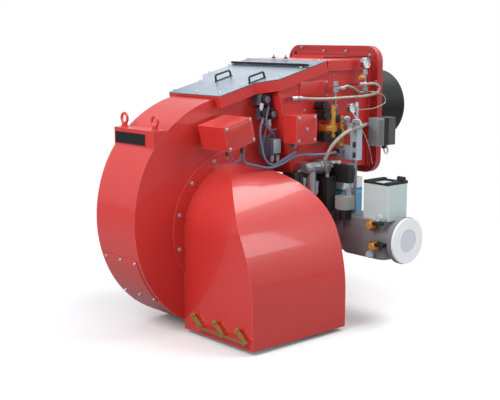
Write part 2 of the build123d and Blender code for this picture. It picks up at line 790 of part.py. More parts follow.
with BuildPart() as test_plugs:
    for x, z in ((655, -572), (672, -678)):
        block(x - 30, x + 46, body_side - 10, body_side - seat_clearance, z - 22, z + 22)
        rod_y(x, body_side - 26, body_side - 10, z, 11)
        rod_y(x, body_side - 20, body_side - 10, z, 15)
        block(x + 16, x + 42, body_side - 34, body_side - 10, z + 4, z + 34)
save(test_plugs.part, "test_plugs")

cap_radius = 121.0
with BuildPart() as flange_cap:
    rod_x(train_end_x + seat_clearance, train_end_x + 14, train_y, train_z, cap_radius)
    rod_x(train_end_x + 10, train_end_x + 20, train_y, train_z, pipe_bore, mode=Mode.SUBTRACT)
    rod_x(train_end_x - 6, train_end_x + 1, train_y, train_z, pipe_bore - seat_clearance)
save(flange_cap.part, "flange_cap")

with BuildPart() as train_bolts:
    for index in range(8):
        turn = math.radians(45 * (index + 0.5))
        y = train_y + gas_bolt_circle * math.cos(turn)
        z = train_z + gas_bolt_circle * math.sin(turn)
        with BuildSketch(Plane.YZ.offset(train_start_x - 24 - seat_clearance - 10)):
            with Locations((y, z)):
                RegularPolygon(13.5, 6)
        extrude(amount=10)
save(train_bolts.part, "train_bolts")

# ---- pilot gas ----------------------------------------------------------
pilot_x = 438.0
pilot_y = -300.0
wall = housing_half_width + seat_clearance
with BuildPart() as pilot_line:
    rod_z(pilot_x, pilot_y, valve_top + seat_clearance, -480, 14)
    rod_z(pilot_x, pilot_y, -480, -250, 10)
    rod_x(wall, pilot_x - 20 - seat_clearance, pilot_y, -120, 8)
    rod_x(wall, wall + 14, pilot_y, -120, 15)
save(pilot_line.part, "pilot_line")

with BuildPart() as pilot_valve:
    block(pilot_x - 20, pilot_x + 26, pilot_y - 22, pilot_y + 22, -249.7, -80)
    rod_z(pilot_x + 3, pilot_y, -80, -56, 24)
    with Locations((pilot_x + 3, pilot_y, -42)):
        Cone(32, 18, 28)
    rod_z(pilot_x + 3, pilot_y, -28, 62, 9)
    block(pilot_x - 110, pilot_x - 20, pilot_y - 30, pilot_y + 22, -250, -178)
save(pilot_valve.part, "pilot_valve")

with BuildPart() as ignition_transformer:
    block(wall, 421, -500, -432, -512, -330)
    block(270, 330, -496, -461, -330, housing_bottom - seat_clearance)
save(ignition_transformer.part, "ignition_transformer")

# ---- oil group ----------------------------------------------------------
with BuildPart() as oil_pump_motor:
    rod_y(366, -612, -520, -276, 30)
    rod_y(366, -620, -612, -276, 24)
    block(wall, 366, -600, -550, -300, -252)
    rod_z(366, -565, -410, -280, 25)
    rod_z(366, -565, -418, -410, 18)
save(oil_pump_motor.part, "oil_pump_motor")

with BuildPart() as oil_pump:
    rod_y(366, -519.7, -496, -276, 38)
    block(336, 396, -496, -448, -306, -246)
    rod_x(396, 410, -472, -276, 12)
    rod_z(366, -472, -246, -230, 11)
save(oil_pump.part, "oil_pump")

with BuildPart() as oil_valves:
    block(wall, 372, -445, -395, -92, -60)
    rod_z(370, -412, -60, 12, 17)
    rod_z(370, -412, -92, -60, 24)
    block(wall, 372, -368, -324, -160, -132)
    rod_z(372, -346, -132, -46, 15)
    rod_z(372, -346, -112, -88, 20)
    rod_z(372, -346, -174, -160, 14)
save(oil_valves.part, "oil_valves")

coil_places = ((-464, 46), (-456, -6), (-462, -122))
with BuildPart() as valve_coils:
    for y, z in coil_places:
        rod_x(wall, 352, y, z, 24)
        rod_x(352, 368, y, z, 9)
    block(345, 505, -426, -384, -362, -266)
    block(wall, 345, -420, -390, -330, -300)
save(valve_coils.part, "valve_coils")

gauge_places = (("upper", 350.0, -152.0, 268.0, 29.0), ("lower", 428.0, -345.0, 33.0, 25.0))
gauge_face_turn = 0.0
with BuildPart() as gauge_cases:
    for name, x, y, z, radius in gauge_places:
        rod_x(x, x + 26, y, z, radius)
        rod_x(x + 4, x + 27, y, z, radius - 4, mode=Mode.SUBTRACT)
        rod_x(x, x + 14, y, z, 3)
        if name == "upper":
            rod_z(x + 13, y, z - radius - 26, z - radius + 2, 6)
        else:
            rod_y(x + 13, y + radius - 2, pilot_y - 9.3, z, 6)
save(gauge_cases.part, "gauge_cases")

for name, x, y, z, radius in gauge_places:
    with BuildPart() as needle:
        rod_x(x + 14.5, x + 18, y, z, 5)
        block(x + 15, x + 16.5, y - 1.5, y + 1.5, z - 8, z + radius - 9)
    save(needle.part, "needle_" + name)

upper_x = gauge_places[0][1] + 13
upper_y = gauge_places[0][2]
upper_foot = gauge_places[0][3] - gauge_places[0][4] - 26 - seat_clearance
with BuildPart() as oil_pipes:
    rod_z(upper_x, upper_y, 112, upper_foot, 8)
    block(upper_x - 12, upper_x + 12, upper_y - 12, upper_y + 12, 94, 120)
    block(wall, upper_x, upper_y - 9, upper_y + 9, 98, 116)
    rod_y(upper_x, upper_y - 44, upper_y, 192, 9)
    rod_x(wall, 395, -206, 154, 7)
    rod_y(395, -216, -185, 154, 11)
    rod_z(352, -376, 10, 140, 8)
    rod_z(352, -376, 122, 146, 12)
    rod_y(352, -376, -350, 134, 9)
    block(wall, 364, -388, -364, 0, 24)
    rod_x(wall, 350, -688, 95, 8)
    rod_y(346, -698, -662, 95, 11)
    rod_x(wall, 336, -92, -78, 9)
    rod_x(322, 346, -92, -78, 12)
save(oil_pipes.part, "oil_pipes")

hose_radius = 8.0
with BuildPart() as braided_hoses:
    long_route = [
        (346, -661.2, 95),
        (350, -500, 84),
        (376, -402, 84),
        (380, -330, 86),
        (398, -190, 88),
        (404, -90, 102),
        (404, -72, 136),
        (400, -110, 156),
        (395, -184.2, 154),
    ]
    bend(long_route, arcs(long_route), hose_radius)
    short_route = [
        (352, -349.7, 134),
        (352, -326, 134),
        (353, -285, 148),
        (356, -232, 132),
        (upper_x, -194, 107),
        (upper_x, upper_y - 12.4, 107),
    ]
    bend(short_route, arcs(short_route), hose_radius)
save(braided_hoses.part, "braided_hoses")

with BuildPart() as hose_large:
    route = [
        (346.3, -92, -78),
        (372, -92, -78),
        (404, -184, -66),
        (494, -292, -58),
        (492, -440, -84),
        (474, -526, -150),
        (444, -548, -232),
        (430, -520, -284),
        (409, -489, -306),
        (409, -489, -329.7),
    ]
    bend(route, arcs(route), 10)
save(hose_large.part, "hose_large")

with BuildPart() as capillaries:
    top_loop = [
        (upper_x + 12.3, upper_y, 112),
        (408, upper_y, 112),
        (424, -110, 108),
        (428, -56, 84),
        (430, -50, 48),
        (436, -150, 20),
        (pilot_x + 3, pilot_y + 9.4, 22),
    ]
    bend(top_loop, arcs(top_loop), 2.6)
save(capillaries.part, "capillaries")

# ---- electrical boxes ---------------------------------------------------
box_tilt = hatch_angle
with BuildPart() as junction_box:
    with Locations(Location((300, -1106, -60), (box_tilt, 0, 0))):
        Box(200, 176, 122)
    with Locations(Location((402.5, -1106, -60), (box_tilt, 0, 0))):
        Box(5, 182, 128)
    with Locations(Location((184, -1106, -60), (box_tilt, 0, 0))):
        Box(33.4, 110, 70)
    rod_z(330, -1020, -160, -90, 12)
save(junction_box.part, "junction_box")

with BuildPart() as side_box:
    block(wall, 392, -708, -566, -138, 8)
    block(392, 398, -712, -562, -142, 12)
save(side_box.part, "side_box")

with BuildPart() as head_servo:
    block(hatch_wide + seat_clearance, 436, -62, -50, -150, -60)
    block(435, 500, -194, -44, -180, -28)
    rod_z(466, -100, -200, -180, 13)
save(head_servo.part, "head_servo")

with BuildPart() as air_switches:
    block(scroll_half_width + seat_clearance, 232, -812, -749, 62, 116)
    block(scroll_half_width + seat_clearance, 236, -789, -730, -16, 42)
    block(scroll_half_width + seat_clearance, 236, -765, -695.5, -212, -108)
    block(236, 262, -759, -701, -204, -116)
    rod_z(220, -735, -236, -212, 12)
save(air_switches.part, "air_switches")

with BuildPart() as cable_bundle:
    run_one = [
        (330, -1020, -160.5),
        (330, -1020, -215),
        (322, -930, -238),
        (324, -835, -262),
        (335, -760, -246),
        (345, -655, -200),
        (410, -560, -206),
        (424, -440, -200),
        (380, -400, -204),
        (380, -330.6, -204),
    ]
    bend(run_one, arcs(run_one), 7)
save(cable_bundle.part, "cable_bundle")

# ---- combustion head ----------------------------------------------------
lance_radius = 30.0
sleeve_bore = 146.0
with BuildPart() as combustion_head:
    rod_z(0, train_y, housing_bottom + housing_wall + seat_clearance, -40, 70)
    rod_y(0, train_y - 76, 100, 0, 76)
    rod_z(0, train_y, housing_bottom + 3, -30, pipe_bore, mode=Mode.SUBTRACT)
    rod_y(0, train_y - 70, 100.5, 0, 70, mode=Mode.SUBTRACT)
    rod_y(0, train_y - 80, train_y - 60, 0, lance_radius, mode=Mode.SUBTRACT)
    with BuildSketch(Plane.XZ.offset(-100)):
        Circle(118)
        Circle(lance_radius, mode=Mode.SUBTRACT)
        with PolarLocations(88, 12):
            Rectangle(34, 7, mode=Mode.SUBTRACT)
        with PolarLocations(52, 12):
            Circle(5, mode=Mode.SUBTRACT)
    extrude(amount=-5)
    for index in range(8):
        with Locations(Location((0, 60, 0), (0, 45 * index + 22.5, 0))):
            with Locations(((74 + sleeve_bore - seat_clearance) / 2, 0, 0)):
                Box(sleeve_bore - seat_clearance - 74, 16, 5)
save(combustion_head.part, "combustion_head")

with BuildPart() as oil_lance:
    rod_y(0, train_y - 130, 104, 0, lance_radius - 8)
    rod_y(0, train_y - 100, train_y - 60, 0, lance_radius)
    rod_y(0, 96, 118, 0, lance_radius)
    rod_y(0, 118, 136, 0, 14)
    for side in (-1, 1):
        rod_y(side * 40, 105.3, 150, -14, 4)
save(oil_lance.part, "oil_lance")

with BuildPart() as head_sleeve:
    with BuildSketch(Plane.XZ.offset(20)):
        Circle(sleeve_bore + 4)
        Circle(sleeve_bore, mode=Mode.SUBTRACT)
    extrude(amount=-130)
    for index in range(3):
        turn = math.radians(120 * index + 90)
        rod_y(148 * math.cos(turn), -90, 30, 148 * math.sin(turn), 4)
save(head_sleeve.part, "head_sleeve")
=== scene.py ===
# %% [markdown]
# # A boiler burner in red paint
# The burner is a bent sheet-metal snail with a fan inside, a cast head housing with a hinged flange, and
# a gas and oil train at its side.
# The exact solids come from the CAD model and stay as they are. This lesson gives them their finishes
# and adds what is too fine for CAD: screws, seals, dials, cover plates, cable loops and glands.

import json
import math

import bpy
from mathutils import Matrix, Vector


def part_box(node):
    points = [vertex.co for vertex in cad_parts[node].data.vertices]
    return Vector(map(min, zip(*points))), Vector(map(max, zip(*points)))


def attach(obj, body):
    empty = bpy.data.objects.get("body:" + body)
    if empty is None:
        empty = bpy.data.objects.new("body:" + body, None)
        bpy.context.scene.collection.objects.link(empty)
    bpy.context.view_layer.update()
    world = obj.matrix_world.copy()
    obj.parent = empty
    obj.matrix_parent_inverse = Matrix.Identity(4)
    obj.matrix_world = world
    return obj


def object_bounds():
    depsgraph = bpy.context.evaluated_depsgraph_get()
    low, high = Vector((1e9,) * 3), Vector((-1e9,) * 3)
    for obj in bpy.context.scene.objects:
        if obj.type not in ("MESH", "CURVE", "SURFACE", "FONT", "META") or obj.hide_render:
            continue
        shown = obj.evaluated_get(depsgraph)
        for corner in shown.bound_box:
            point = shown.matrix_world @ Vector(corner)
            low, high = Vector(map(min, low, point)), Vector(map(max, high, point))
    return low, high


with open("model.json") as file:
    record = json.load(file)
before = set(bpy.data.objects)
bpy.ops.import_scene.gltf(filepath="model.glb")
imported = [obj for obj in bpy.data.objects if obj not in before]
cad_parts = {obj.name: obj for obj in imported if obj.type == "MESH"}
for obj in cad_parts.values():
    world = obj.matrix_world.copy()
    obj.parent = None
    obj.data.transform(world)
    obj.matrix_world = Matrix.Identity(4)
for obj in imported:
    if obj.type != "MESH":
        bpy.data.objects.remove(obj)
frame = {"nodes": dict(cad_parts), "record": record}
nodes = frame["nodes"]
slot_of = {part["node"]: part["material_slot"] for part in frame["record"]["subparts"]}
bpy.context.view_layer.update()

# %% [markdown]
# ## Working habits
# An operator acts on everything that is selected, and the loader leaves all the CAD nodes selected.
# So each step starts with nothing selected, and each finished piece has its place written into its mesh.

# %% Selection and finishing helpers
def clear_selection():
    if bpy.context.object and bpy.context.object.mode != "OBJECT":
        bpy.ops.object.mode_set(mode="OBJECT")
    bpy.ops.object.select_all(action="DESELECT")


def pick(*objects):
    clear_selection()
    for obj in objects:
        obj.select_set(True)
    bpy.context.view_layer.objects.active = objects[0]


def settle(obj):
    """Writes the place, turn and size of an object into its mesh."""
    pick(obj)
    bpy.ops.object.transform_apply(location=True, rotation=True, scale=True)


def apply_all(obj):
    pick(obj)
    for modifier in list(obj.modifiers):
        bpy.ops.object.modifier_apply(modifier=modifier.name)


def smooth(obj, degrees=35):
    pick(obj)
    bpy.ops.object.shade_smooth_by_angle(angle=math.radians(degrees))


def join(name, parts):
    pick(*parts)
    if len(parts) > 1:
        bpy.ops.object.join()
    whole = bpy.context.view_layer.objects.active
    whole.name = name
    whole.data.name = name
    return whole


def finish_piece(obj, name, body, slot, finish):
    """Names a piece, gives it its finish and lets it ride on a body."""
    settle(obj)
    obj.name = name
    obj.data.name = name
    obj.data.materials.clear()
    obj.data.materials.append(finish)
    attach(obj, body)
    print("piece", name, "on", body, len(obj.data.polygons), "faces")
    return obj


print("helpers ready")

# %% [markdown]
# ## Shared surface effects
# Many finishes need the same small effects: the ripple of sprayed paint, an uneven tone, a bright edge that is
# wear on metal and a painted highlight on the new paint, a little dust on top.
# Each effect is built once as a shader node group with named inputs, and every finish places it with its
# own values.

# %% Group maker
def new_group(name, inputs, outputs):
    group = bpy.data.node_groups.new(name, "ShaderNodeTree")
    for label, kind, value in inputs:
        socket = group.interface.new_socket(name=label, in_out="INPUT", socket_type="NodeSocket" + kind)
        if value is not None:
            socket.default_value = value
    for label, kind in outputs:
        group.interface.new_socket(name=label, in_out="OUTPUT", socket_type="NodeSocket" + kind)
    start = group.nodes.new("NodeGroupInput")
    end = group.nodes.new("NodeGroupOutput")
    return group, start, end


def add_node(tree, kind, **settings):
    node = tree.nodes.new(kind)
    for key, value in settings.items():
        setattr(node, key, value)
    return node


def math_node(tree, operation, first, second=None):
    node = add_node(tree, "ShaderNodeMath", operation=operation)
    for socket, value in zip(node.inputs, (first, second)):
        if value is None:
            continue
        if isinstance(value, (int, float)):
            socket.default_value = value
        else:
            tree.links.new(value, socket)
    return node.outputs[0]


print("group maker ready")

# %% Uneven tone
tone_group, tone_in, tone_out = new_group(
    "uneven_tone",
    [("Position", "Vector", None), ("Colour", "Color", (0.5, 0.5, 0.5, 1)),
     ("Scale", "Float", 6.0), ("Depth", "Float", 0.12)],
    [("Colour", "Color"), ("Mask", "Float")],
)
cloud = add_node(tone_group, "ShaderNodeTexNoise")
cloud.inputs["Detail"].default_value = 5
cloud.inputs["Roughness"].default_value = 0.55
tone_group.links.new(tone_in.outputs["Position"], cloud.inputs["Vector"])
tone_group.links.new(tone_in.outputs["Scale"], cloud.inputs["Scale"])
shade = math_node(tone_group, "MULTIPLY", cloud.outputs["Fac"], tone_in.outputs["Depth"])
level = math_node(tone_group, "SUBTRACT", 1.0, shade)
darken = add_node(tone_group, "ShaderNodeVectorMath", operation="SCALE")
tone_group.links.new(tone_in.outputs["Colour"], darken.inputs[0])
tone_group.links.new(level, darken.inputs["Scale"])
tone_group.links.new(darken.outputs[0], tone_out.inputs["Colour"])
tone_group.links.new(cloud.outputs["Fac"], tone_out.inputs["Mask"])
print("uneven_tone ready")

# %% Sprayed ripple
ripple_group, ripple_in, ripple_out = new_group(
    "sprayed_ripple",
    [("Position", "Vector", None), ("Scale", "Float", 260.0)],
    [("Height", "Float")],
)
fine = add_node(ripple_group, "ShaderNodeTexNoise")
fine.inputs["Detail"].default_value = 2
ripple_group.links.new(ripple_in.outputs["Position"], fine.inputs["Vector"])
ripple_group.links.new(ripple_in.outputs["Scale"], fine.inputs["Scale"])
coarse = add_node(ripple_group, "ShaderNodeTexNoise")
coarse.inputs["Detail"].default_value = 1
ripple_group.links.new(ripple_in.outputs["Position"], coarse.inputs["Vector"])
ripple_group.links.new(math_node(ripple_group, "MULTIPLY", ripple_in.outputs["Scale"], 0.07),
                       coarse.inputs["Scale"])
both = math_node(ripple_group, "ADD", fine.outputs["Fac"],
                 math_node(ripple_group, "MULTIPLY", coarse.outputs["Fac"], 2.0))
ripple_group.links.new(both, ripple_out.inputs["Height"])
print("sprayed_ripple ready")

# %% Edge wear and painted highlight
edge_group, edge_in, edge_out = new_group(
    "edge_wear_and_highlight",
    [("Position", "Vector", None), ("Reach", "Float", 0.003), ("Scale", "Float", 40.0)],
    [("Mask", "Float")],
)
# A pale colour along bevelled edges: rubbed wear on bare metal, and a painted highlight on the new, unworn paint.
rounding = add_node(edge_group, "ShaderNodeBevel", samples=4)
edge_group.links.new(edge_in.outputs["Reach"], rounding.inputs["Radius"])
flat = add_node(edge_group, "ShaderNodeNewGeometry")
turn = add_node(edge_group, "ShaderNodeVectorMath", operation="DOT_PRODUCT")
edge_group.links.new(rounding.outputs["Normal"], turn.inputs[0])
edge_group.links.new(flat.outputs["Normal"], turn.inputs[1])
bend_amount = math_node(edge_group, "SUBTRACT", 1.0, turn.outputs["Value"])
edge_breakup = add_node(edge_group, "ShaderNodeTexNoise")
edge_breakup.inputs["Detail"].default_value = 4
edge_group.links.new(edge_in.outputs["Position"], edge_breakup.inputs["Vector"])
edge_group.links.new(edge_in.outputs["Scale"], edge_breakup.inputs["Scale"])
strong = math_node(edge_group, "MULTIPLY", bend_amount, 7.0)
broken = math_node(edge_group, "MULTIPLY", strong, edge_breakup.outputs["Fac"])
limited = math_node(edge_group, "MINIMUM", broken, 1.0)
edge_group.links.new(limited, edge_out.inputs["Mask"])
print("edge_wear_and_highlight ready")

# %% Settled dust
dust_group, dust_in, dust_out = new_group(
    "settled_dust",
    [("Position", "Vector", None), ("Amount", "Float", 0.2)],
    [("Mask", "Float")],
)
facing = add_node(dust_group, "ShaderNodeNewGeometry")
split = add_node(dust_group, "ShaderNodeSeparateXYZ")
dust_group.links.new(facing.outputs["Normal"], split.inputs[0])
upward = math_node(dust_group, "MAXIMUM", split.outputs["Z"], 0.0)
patches = add_node(dust_group, "ShaderNodeTexNoise")
patches.inputs["Scale"].default_value = 9
patches.inputs["Detail"].default_value = 6
dust_group.links.new(dust_in.outputs["Position"], patches.inputs["Vector"])
settled = math_node(dust_group, "MULTIPLY",
                    math_node(dust_group, "MULTIPLY", upward, patches.outputs["Fac"]), dust_in.outputs["Amount"])
dust_group.links.new(settled, dust_out.inputs["Mask"])
print("settled_dust ready")

# %% Brushed grain
grain_group, grain_in, grain_out = new_group(
    "brushed_grain",
    [("Position", "Vector", None), ("Scale", "Float", 60.0)],
    [("Height", "Float")],
)
stretch = add_node(grain_group, "ShaderNodeMapping")
stretch.inputs["Scale"].default_value = (0.06, 1.0, 1.0)
grain_group.links.new(grain_in.outputs["Position"], stretch.inputs["Vector"])
lines = add_node(grain_group, "ShaderNodeTexNoise")
lines.inputs["Detail"].default_value = 6
lines.inputs["Roughness"].default_value = 0.7
grain_group.links.new(stretch.outputs[0], lines.inputs["Vector"])
grain_group.links.new(grain_in.outputs["Scale"], lines.inputs["Scale"])
grain_group.links.new(lines.outputs["Fac"], grain_out.inputs["Height"])
print("brushed_grain ready")

# %% Wire braid
braid_group, braid_in, braid_out = new_group(
    "wire_braid",
    [("Position", "Vector", None), ("Scale", "Float", 120.0)],
    [("Height", "Float")],
)
for sign, label in ((1, "left"), (-1, "right")):
    lean = add_node(braid_group, "ShaderNodeMapping", label=label)
    lean.inputs["Rotation"].default_value = (math.radians(35), math.radians(45 * sign),
                                             math.radians(25 * sign))
    braid_group.links.new(braid_in.outputs["Position"], lean.inputs["Vector"])
    strands = add_node(braid_group, "ShaderNodeTexWave", wave_type="BANDS", label=label)
    strands.inputs["Distortion"].default_value = 0.6
    braid_group.links.new(lean.outputs[0], strands.inputs["Vector"])
    braid_group.links.new(braid_in.outputs["Scale"], strands.inputs["Scale"])
crossing = [n for n in braid_group.nodes if n.bl_idname == "ShaderNodeTexWave"]
weave = math_node(braid_group, "MAXIMUM", crossing[0].outputs["Fac"], crossing[1].outputs["Fac"])
braid_group.links.new(weave, braid_out.inputs["Height"])
print("wire_braid ready")

# %% [markdown]
# ## Finishes
# Every finish is one Principled shader fed by the groups above. Plain numbers such as the coat or the
# sheen sit on the shader itself.
# The red is a gloss enamel with a clear top layer, so pale surroundings turn it pink at a low angle.

# %% Finish maker
def place_group(tree, group, position, **values):
    node = tree.nodes.new("ShaderNodeGroup")
    node.node_tree = group
    if position is not None:
        tree.links.new(position, node.inputs["Position"])
    for key, value in values.items():
        if isinstance(value, (int, float, tuple)):
            node.inputs[key].default_value = value
        else:
            tree.links.new(value, node.inputs[key])
    return node


def mix_colour(tree, mask, first, second):
    mixer = add_node(tree, "ShaderNodeMix", data_type="RGBA")
    tree.links.new(mask, mixer.inputs["Factor"])
    for socket, value in ((mixer.inputs[6], first), (mixer.inputs[7], second)):
        if isinstance(value, tuple):
            socket.default_value = (*value, 1)
        else:
            tree.links.new(value, socket)
    return mixer.outputs[2]


def new_finish(name, colour, rough, metal=0.0, coat=0.0, depth=0.12, scale=6.0, ripple=0.0,
               ripple_scale=260.0, edge=None, edge_reach=0.003, dust=0.0, grain=0.0, braid=0.0,
               painter=None, specular=0.5):
    """A named procedural material; painter may turn the base colour into a pattern."""
    finish = bpy.data.materials.new(name)
    finish.use_nodes = True
    tree = finish.node_tree
    shader = tree.nodes["Principled BSDF"]
    shader.inputs["Metallic"].default_value = metal
    shader.inputs["Coat Weight"].default_value = coat
    shader.inputs["Coat Roughness"].default_value = 0.07
    shader.inputs["Specular IOR Level"].default_value = specular
    place = add_node(tree, "ShaderNodeTexCoord").outputs["Object"]
    base = (*colour, 1)
    if painter:
        base = painter(tree, place)
    tone = place_group(tree, tone_group, place, Colour=base, Scale=scale, Depth=depth)
    shown = tone.outputs["Colour"]
    if edge:
        edge_wear_and_highlight_mask = place_group(tree, edge_group, place, Reach=edge_reach)
        shown = mix_colour(tree, edge_wear_and_highlight_mask.outputs["Mask"], shown, edge)
    if dust:
        dusty = place_group(tree, dust_group, place, Amount=dust)
        shown = mix_colour(tree, dusty.outputs["Mask"], shown, (0.62, 0.60, 0.57))
    tree.links.new(shown, shader.inputs["Base Color"])
    uneven = math_node(tree, "MULTIPLY", tone.outputs["Mask"], rough * 0.35)
    tree.links.new(math_node(tree, "ADD", uneven, rough * 0.82), shader.inputs["Roughness"])
    height, strength, size = None, 0.0, 0.001
    if ripple:
        height, strength = place_group(tree, ripple_group, place,
                                       Scale=ripple_scale).outputs["Height"], ripple
        size = 0.0006
    if grain:
        height, strength = place_group(tree, grain_group, place, Scale=90.0).outputs["Height"], grain
    if braid:
        height, strength = place_group(tree, braid_group, place, Scale=90.0).outputs["Height"], braid
    if height is not None:
        bump = add_node(tree, "ShaderNodeBump")
        bump.inputs["Strength"].default_value = strength
        bump.inputs["Distance"].default_value = size
        tree.links.new(height, bump.inputs["Height"])
        tree.links.new(bump.outputs["Normal"], shader.inputs["Normal"])
    return finish


print("finish maker ready")

# %% Colour bands for parts that are moulded in several colours
def banded(axis, steps, first):
    """A painter: the colour changes at each place along one axis, in metres."""
    def painter(tree, place):
        parts = add_node(tree, "ShaderNodeSeparateXYZ")
        tree.links.new(place, parts.inputs[0])
        along = parts.outputs[axis]
        shown = first
        for place_at, colour in steps:
            mask = math_node(tree, "GREATER_THAN", along, place_at)
            shown = mix_colour(tree, mask, shown, colour)
        return shown
    return painter


print("banded painter ready")

# %% Paints
# The pale edge colours of the two red enamels are painted highlights along their edges; the paint itself is new and
# unworn.
red_enamel = new_finish("red_enamel", (0.60, 0.030, 0.024), 0.36, coat=0.45, depth=0.10, scale=3.0,
                        ripple=0.10, ripple_scale=240, edge=(0.80, 0.16, 0.14), edge_reach=0.0035, dust=0.05)
plate_enamel = new_finish("plate_enamel", (0.43, 0.018, 0.016), 0.40, coat=0.45, depth=0.16, scale=4.0,
                          ripple=0.14, ripple_scale=180, edge=(0.66, 0.10, 0.09), edge_reach=0.004, dust=0.05)
black_enamel = new_finish("black_enamel", (0.006, 0.006, 0.006), 0.42, depth=0.3, specular=0.35,
                          scale=7.0,
                          ripple=0.12, edge=(0.10, 0.10, 0.11), dust=0.06)
motor_enamel = new_finish("motor_enamel", (0.035, 0.042, 0.052), 0.40, depth=0.22, scale=8.0,
                          ripple=0.35,
                          ripple_scale=160, edge=(0.16, 0.17, 0.19), dust=0.10)
print("paints ready")

# %% Metals
hatch_steel = new_finish("hatch_steel", (0.25, 0.31, 0.38), 0.40, metal=0.30, depth=0.22, scale=4.0,
                         grain=0.14,
                         edge=(0.50, 0.54, 0.60), dust=0.08)
rear_hatch_steel = new_finish("rear_hatch_steel", (0.20, 0.24, 0.30), 0.50, metal=0.20, depth=0.22,
                              scale=4.0, grain=0.14,
                              edge=(0.42, 0.46, 0.52), dust=0.08, specular=0.35)
zinc_plate = new_finish("zinc_plate", (0.52, 0.53, 0.55), 0.30, metal=0.85, depth=0.28, scale=26.0,
                        ripple=0.12,
                        ripple_scale=120, edge=(0.8, 0.8, 0.82))
pump_metal = new_finish("pump_metal", (0.50, 0.53, 0.56), 0.30, metal=0.8, depth=0.35, scale=20.0,
                        ripple=0.3,
                        ripple_scale=90, edge=(0.75, 0.77, 0.8))
yellow_passivate = new_finish("yellow_passivate", (0.46, 0.34, 0.12), 0.30, metal=0.8, depth=0.45,
                              scale=45.0,
                              ripple=0.1, edge=(0.75, 0.68, 0.45))
turned_brass = new_finish("turned_brass", (0.86, 0.44, 0.07), 0.28, metal=0.45, depth=0.3, scale=40.0,
                          ripple=0.1,
                          edge=(0.9, 0.72, 0.36))
cast_alloy_dark = new_finish("cast_alloy_dark", (0.27, 0.28, 0.29), 0.50, metal=0.10, depth=0.42,
                             scale=11.0,
                             ripple=0.9, ripple_scale=150, edge=(0.34, 0.35, 0.34), edge_reach=0.005, dust=0.08)
cast_alloy_light = new_finish("cast_alloy_light", (0.52, 0.60, 0.68), 0.40, metal=0.20, depth=0.18,
                              scale=14.0,
                              ripple=0.5, ripple_scale=150, edge=(0.7, 0.74, 0.78))
heat_stained = new_finish("heat_stained", (0.20, 0.18, 0.165), 0.45, metal=0.7, depth=0.5, scale=13.0,
                          ripple=0.2,
                          edge=(0.45, 0.42, 0.38))
polished_rim = new_finish("polished_rim", (0.62, 0.63, 0.66), 0.16, metal=1.0, depth=0.12, scale=30.0,
                          ripple=0.05)
flex_braid = new_finish("flex_braid", (0.45, 0.40, 0.34), 0.38, metal=0.45, depth=0.3, scale=60.0,
                        braid=0.9)
print("metals ready")

# %% Plastics and rubber
black_moulding = new_finish("black_moulding", (0.012, 0.012, 0.014), 0.50, depth=0.3, scale=30.0,
                            ripple=0.5,
                            ripple_scale=420, edge=(0.06, 0.06, 0.065))
seal_rubber = new_finish("seal_rubber", (0.010, 0.010, 0.011), 0.72, depth=0.3, scale=60.0, ripple=0.6,
                         ripple_scale=500)
pale_moulding = new_finish("pale_moulding", (0.44, 0.53, 0.60), 0.34, depth=0.10, scale=12.0,
                           ripple=0.25,
                           ripple_scale=380, edge=(0.72, 0.78, 0.83))
actuator_shell = new_finish("actuator_shell", (0.58, 0.68, 0.67), 0.36, depth=0.10, scale=9.0,
                            ripple=0.3,
                            ripple_scale=380, edge=(0.62, 0.67, 0.66), edge_reach=0.004)
white_moulding = new_finish("white_moulding", (0.93, 0.94, 0.95), 0.34, depth=0.07, scale=9.0,
                            ripple=0.3,
                            ripple_scale=300, edge=(0.92, 0.92, 0.93))
film_grey = new_finish("film_grey", (0.70, 0.73, 0.78), 0.36, depth=0.10, scale=10.0, ripple=0.3)
blue_sleeving = new_finish("blue_sleeving", (0.15, 0.20, 0.30), 0.42, depth=0.3, scale=40.0, ripple=0.9,
                           ripple_scale=140)
switch_blue = new_finish("switch_blue", (0.13, 0.15, 0.21), 0.42, depth=0.35, scale=18.0, ripple=0.3,
                         ripple_scale=200, edge=(0.35, 0.38, 0.45))
print("plastics ready")

# %% Parts moulded in more than one colour
servo_shell = new_finish("servo_shell", (0.2, 0.2, 0.2), 0.42, depth=0.14, scale=14.0, ripple=0.3,
                         painter=banded("Y", [(-0.140, (0.010, 0.010, 0.011)),
                                              (-0.100, (0.085, 0.09, 0.092))],
                                        (0.27, 0.28, 0.28)))
governor_shell = new_finish("governor_shell", (0.2, 0.5, 0.7), 0.32, depth=0.08, scale=10.0, ripple=0.2,
                            painter=banded("Z", [(-0.444, (0.16, 0.50, 0.74)),
                                                 (-0.424, (0.035, 0.28, 0.52)),
                                                 (-0.411, (0.83, 0.88, 0.90))], (0.11, 0.40, 0.64)))
gas_switch_shell = new_finish("gas_switch_shell", (0.3, 0.3, 0.3), 0.4, depth=0.12, scale=16.0,
                              ripple=0.3,
                              painter=banded("Z", [(-0.506, (0.36, 0.40, 0.38))], (0.012, 0.012, 0.014)))
damper_metal = new_finish("damper_metal", (0.5, 0.5, 0.5), 0.32, metal=0.8, depth=0.3, scale=30.0,
                          ripple=0.1,
                          painter=banded("Y", [(-1.280, (0.52, 0.53, 0.55))], (0.55, 0.38, 0.10)))
print("two-colour parts ready")

# %% [markdown]
# Most small parts ride on the burner. A look is the body, the slot and the finish in one name.

# %% Looks of the small parts
black_look = ("burner", "black_plastic", black_moulding)
zinc_look = ("burner", "zinc_steel", zinc_plate)
pump_look = ("burner", "zinc_steel", pump_metal)
white_look = ("burner", "cap_white", white_moulding)
blue_look = ("burner", "cable_blue", blue_sleeving)
pale_look = ("burner", "light_plastic", pale_moulding)
brass_look = ("burner", "brass", turned_brass)
red_look = ("burner", "red_paint", red_enamel)
print("looks ready")

# %% [markdown]
# ## Dressing the CAD nodes
# The record names a material slot for each node. One table turns each slot into its finish, and a second
# table holds the few nodes that differ from their slot's usual look.

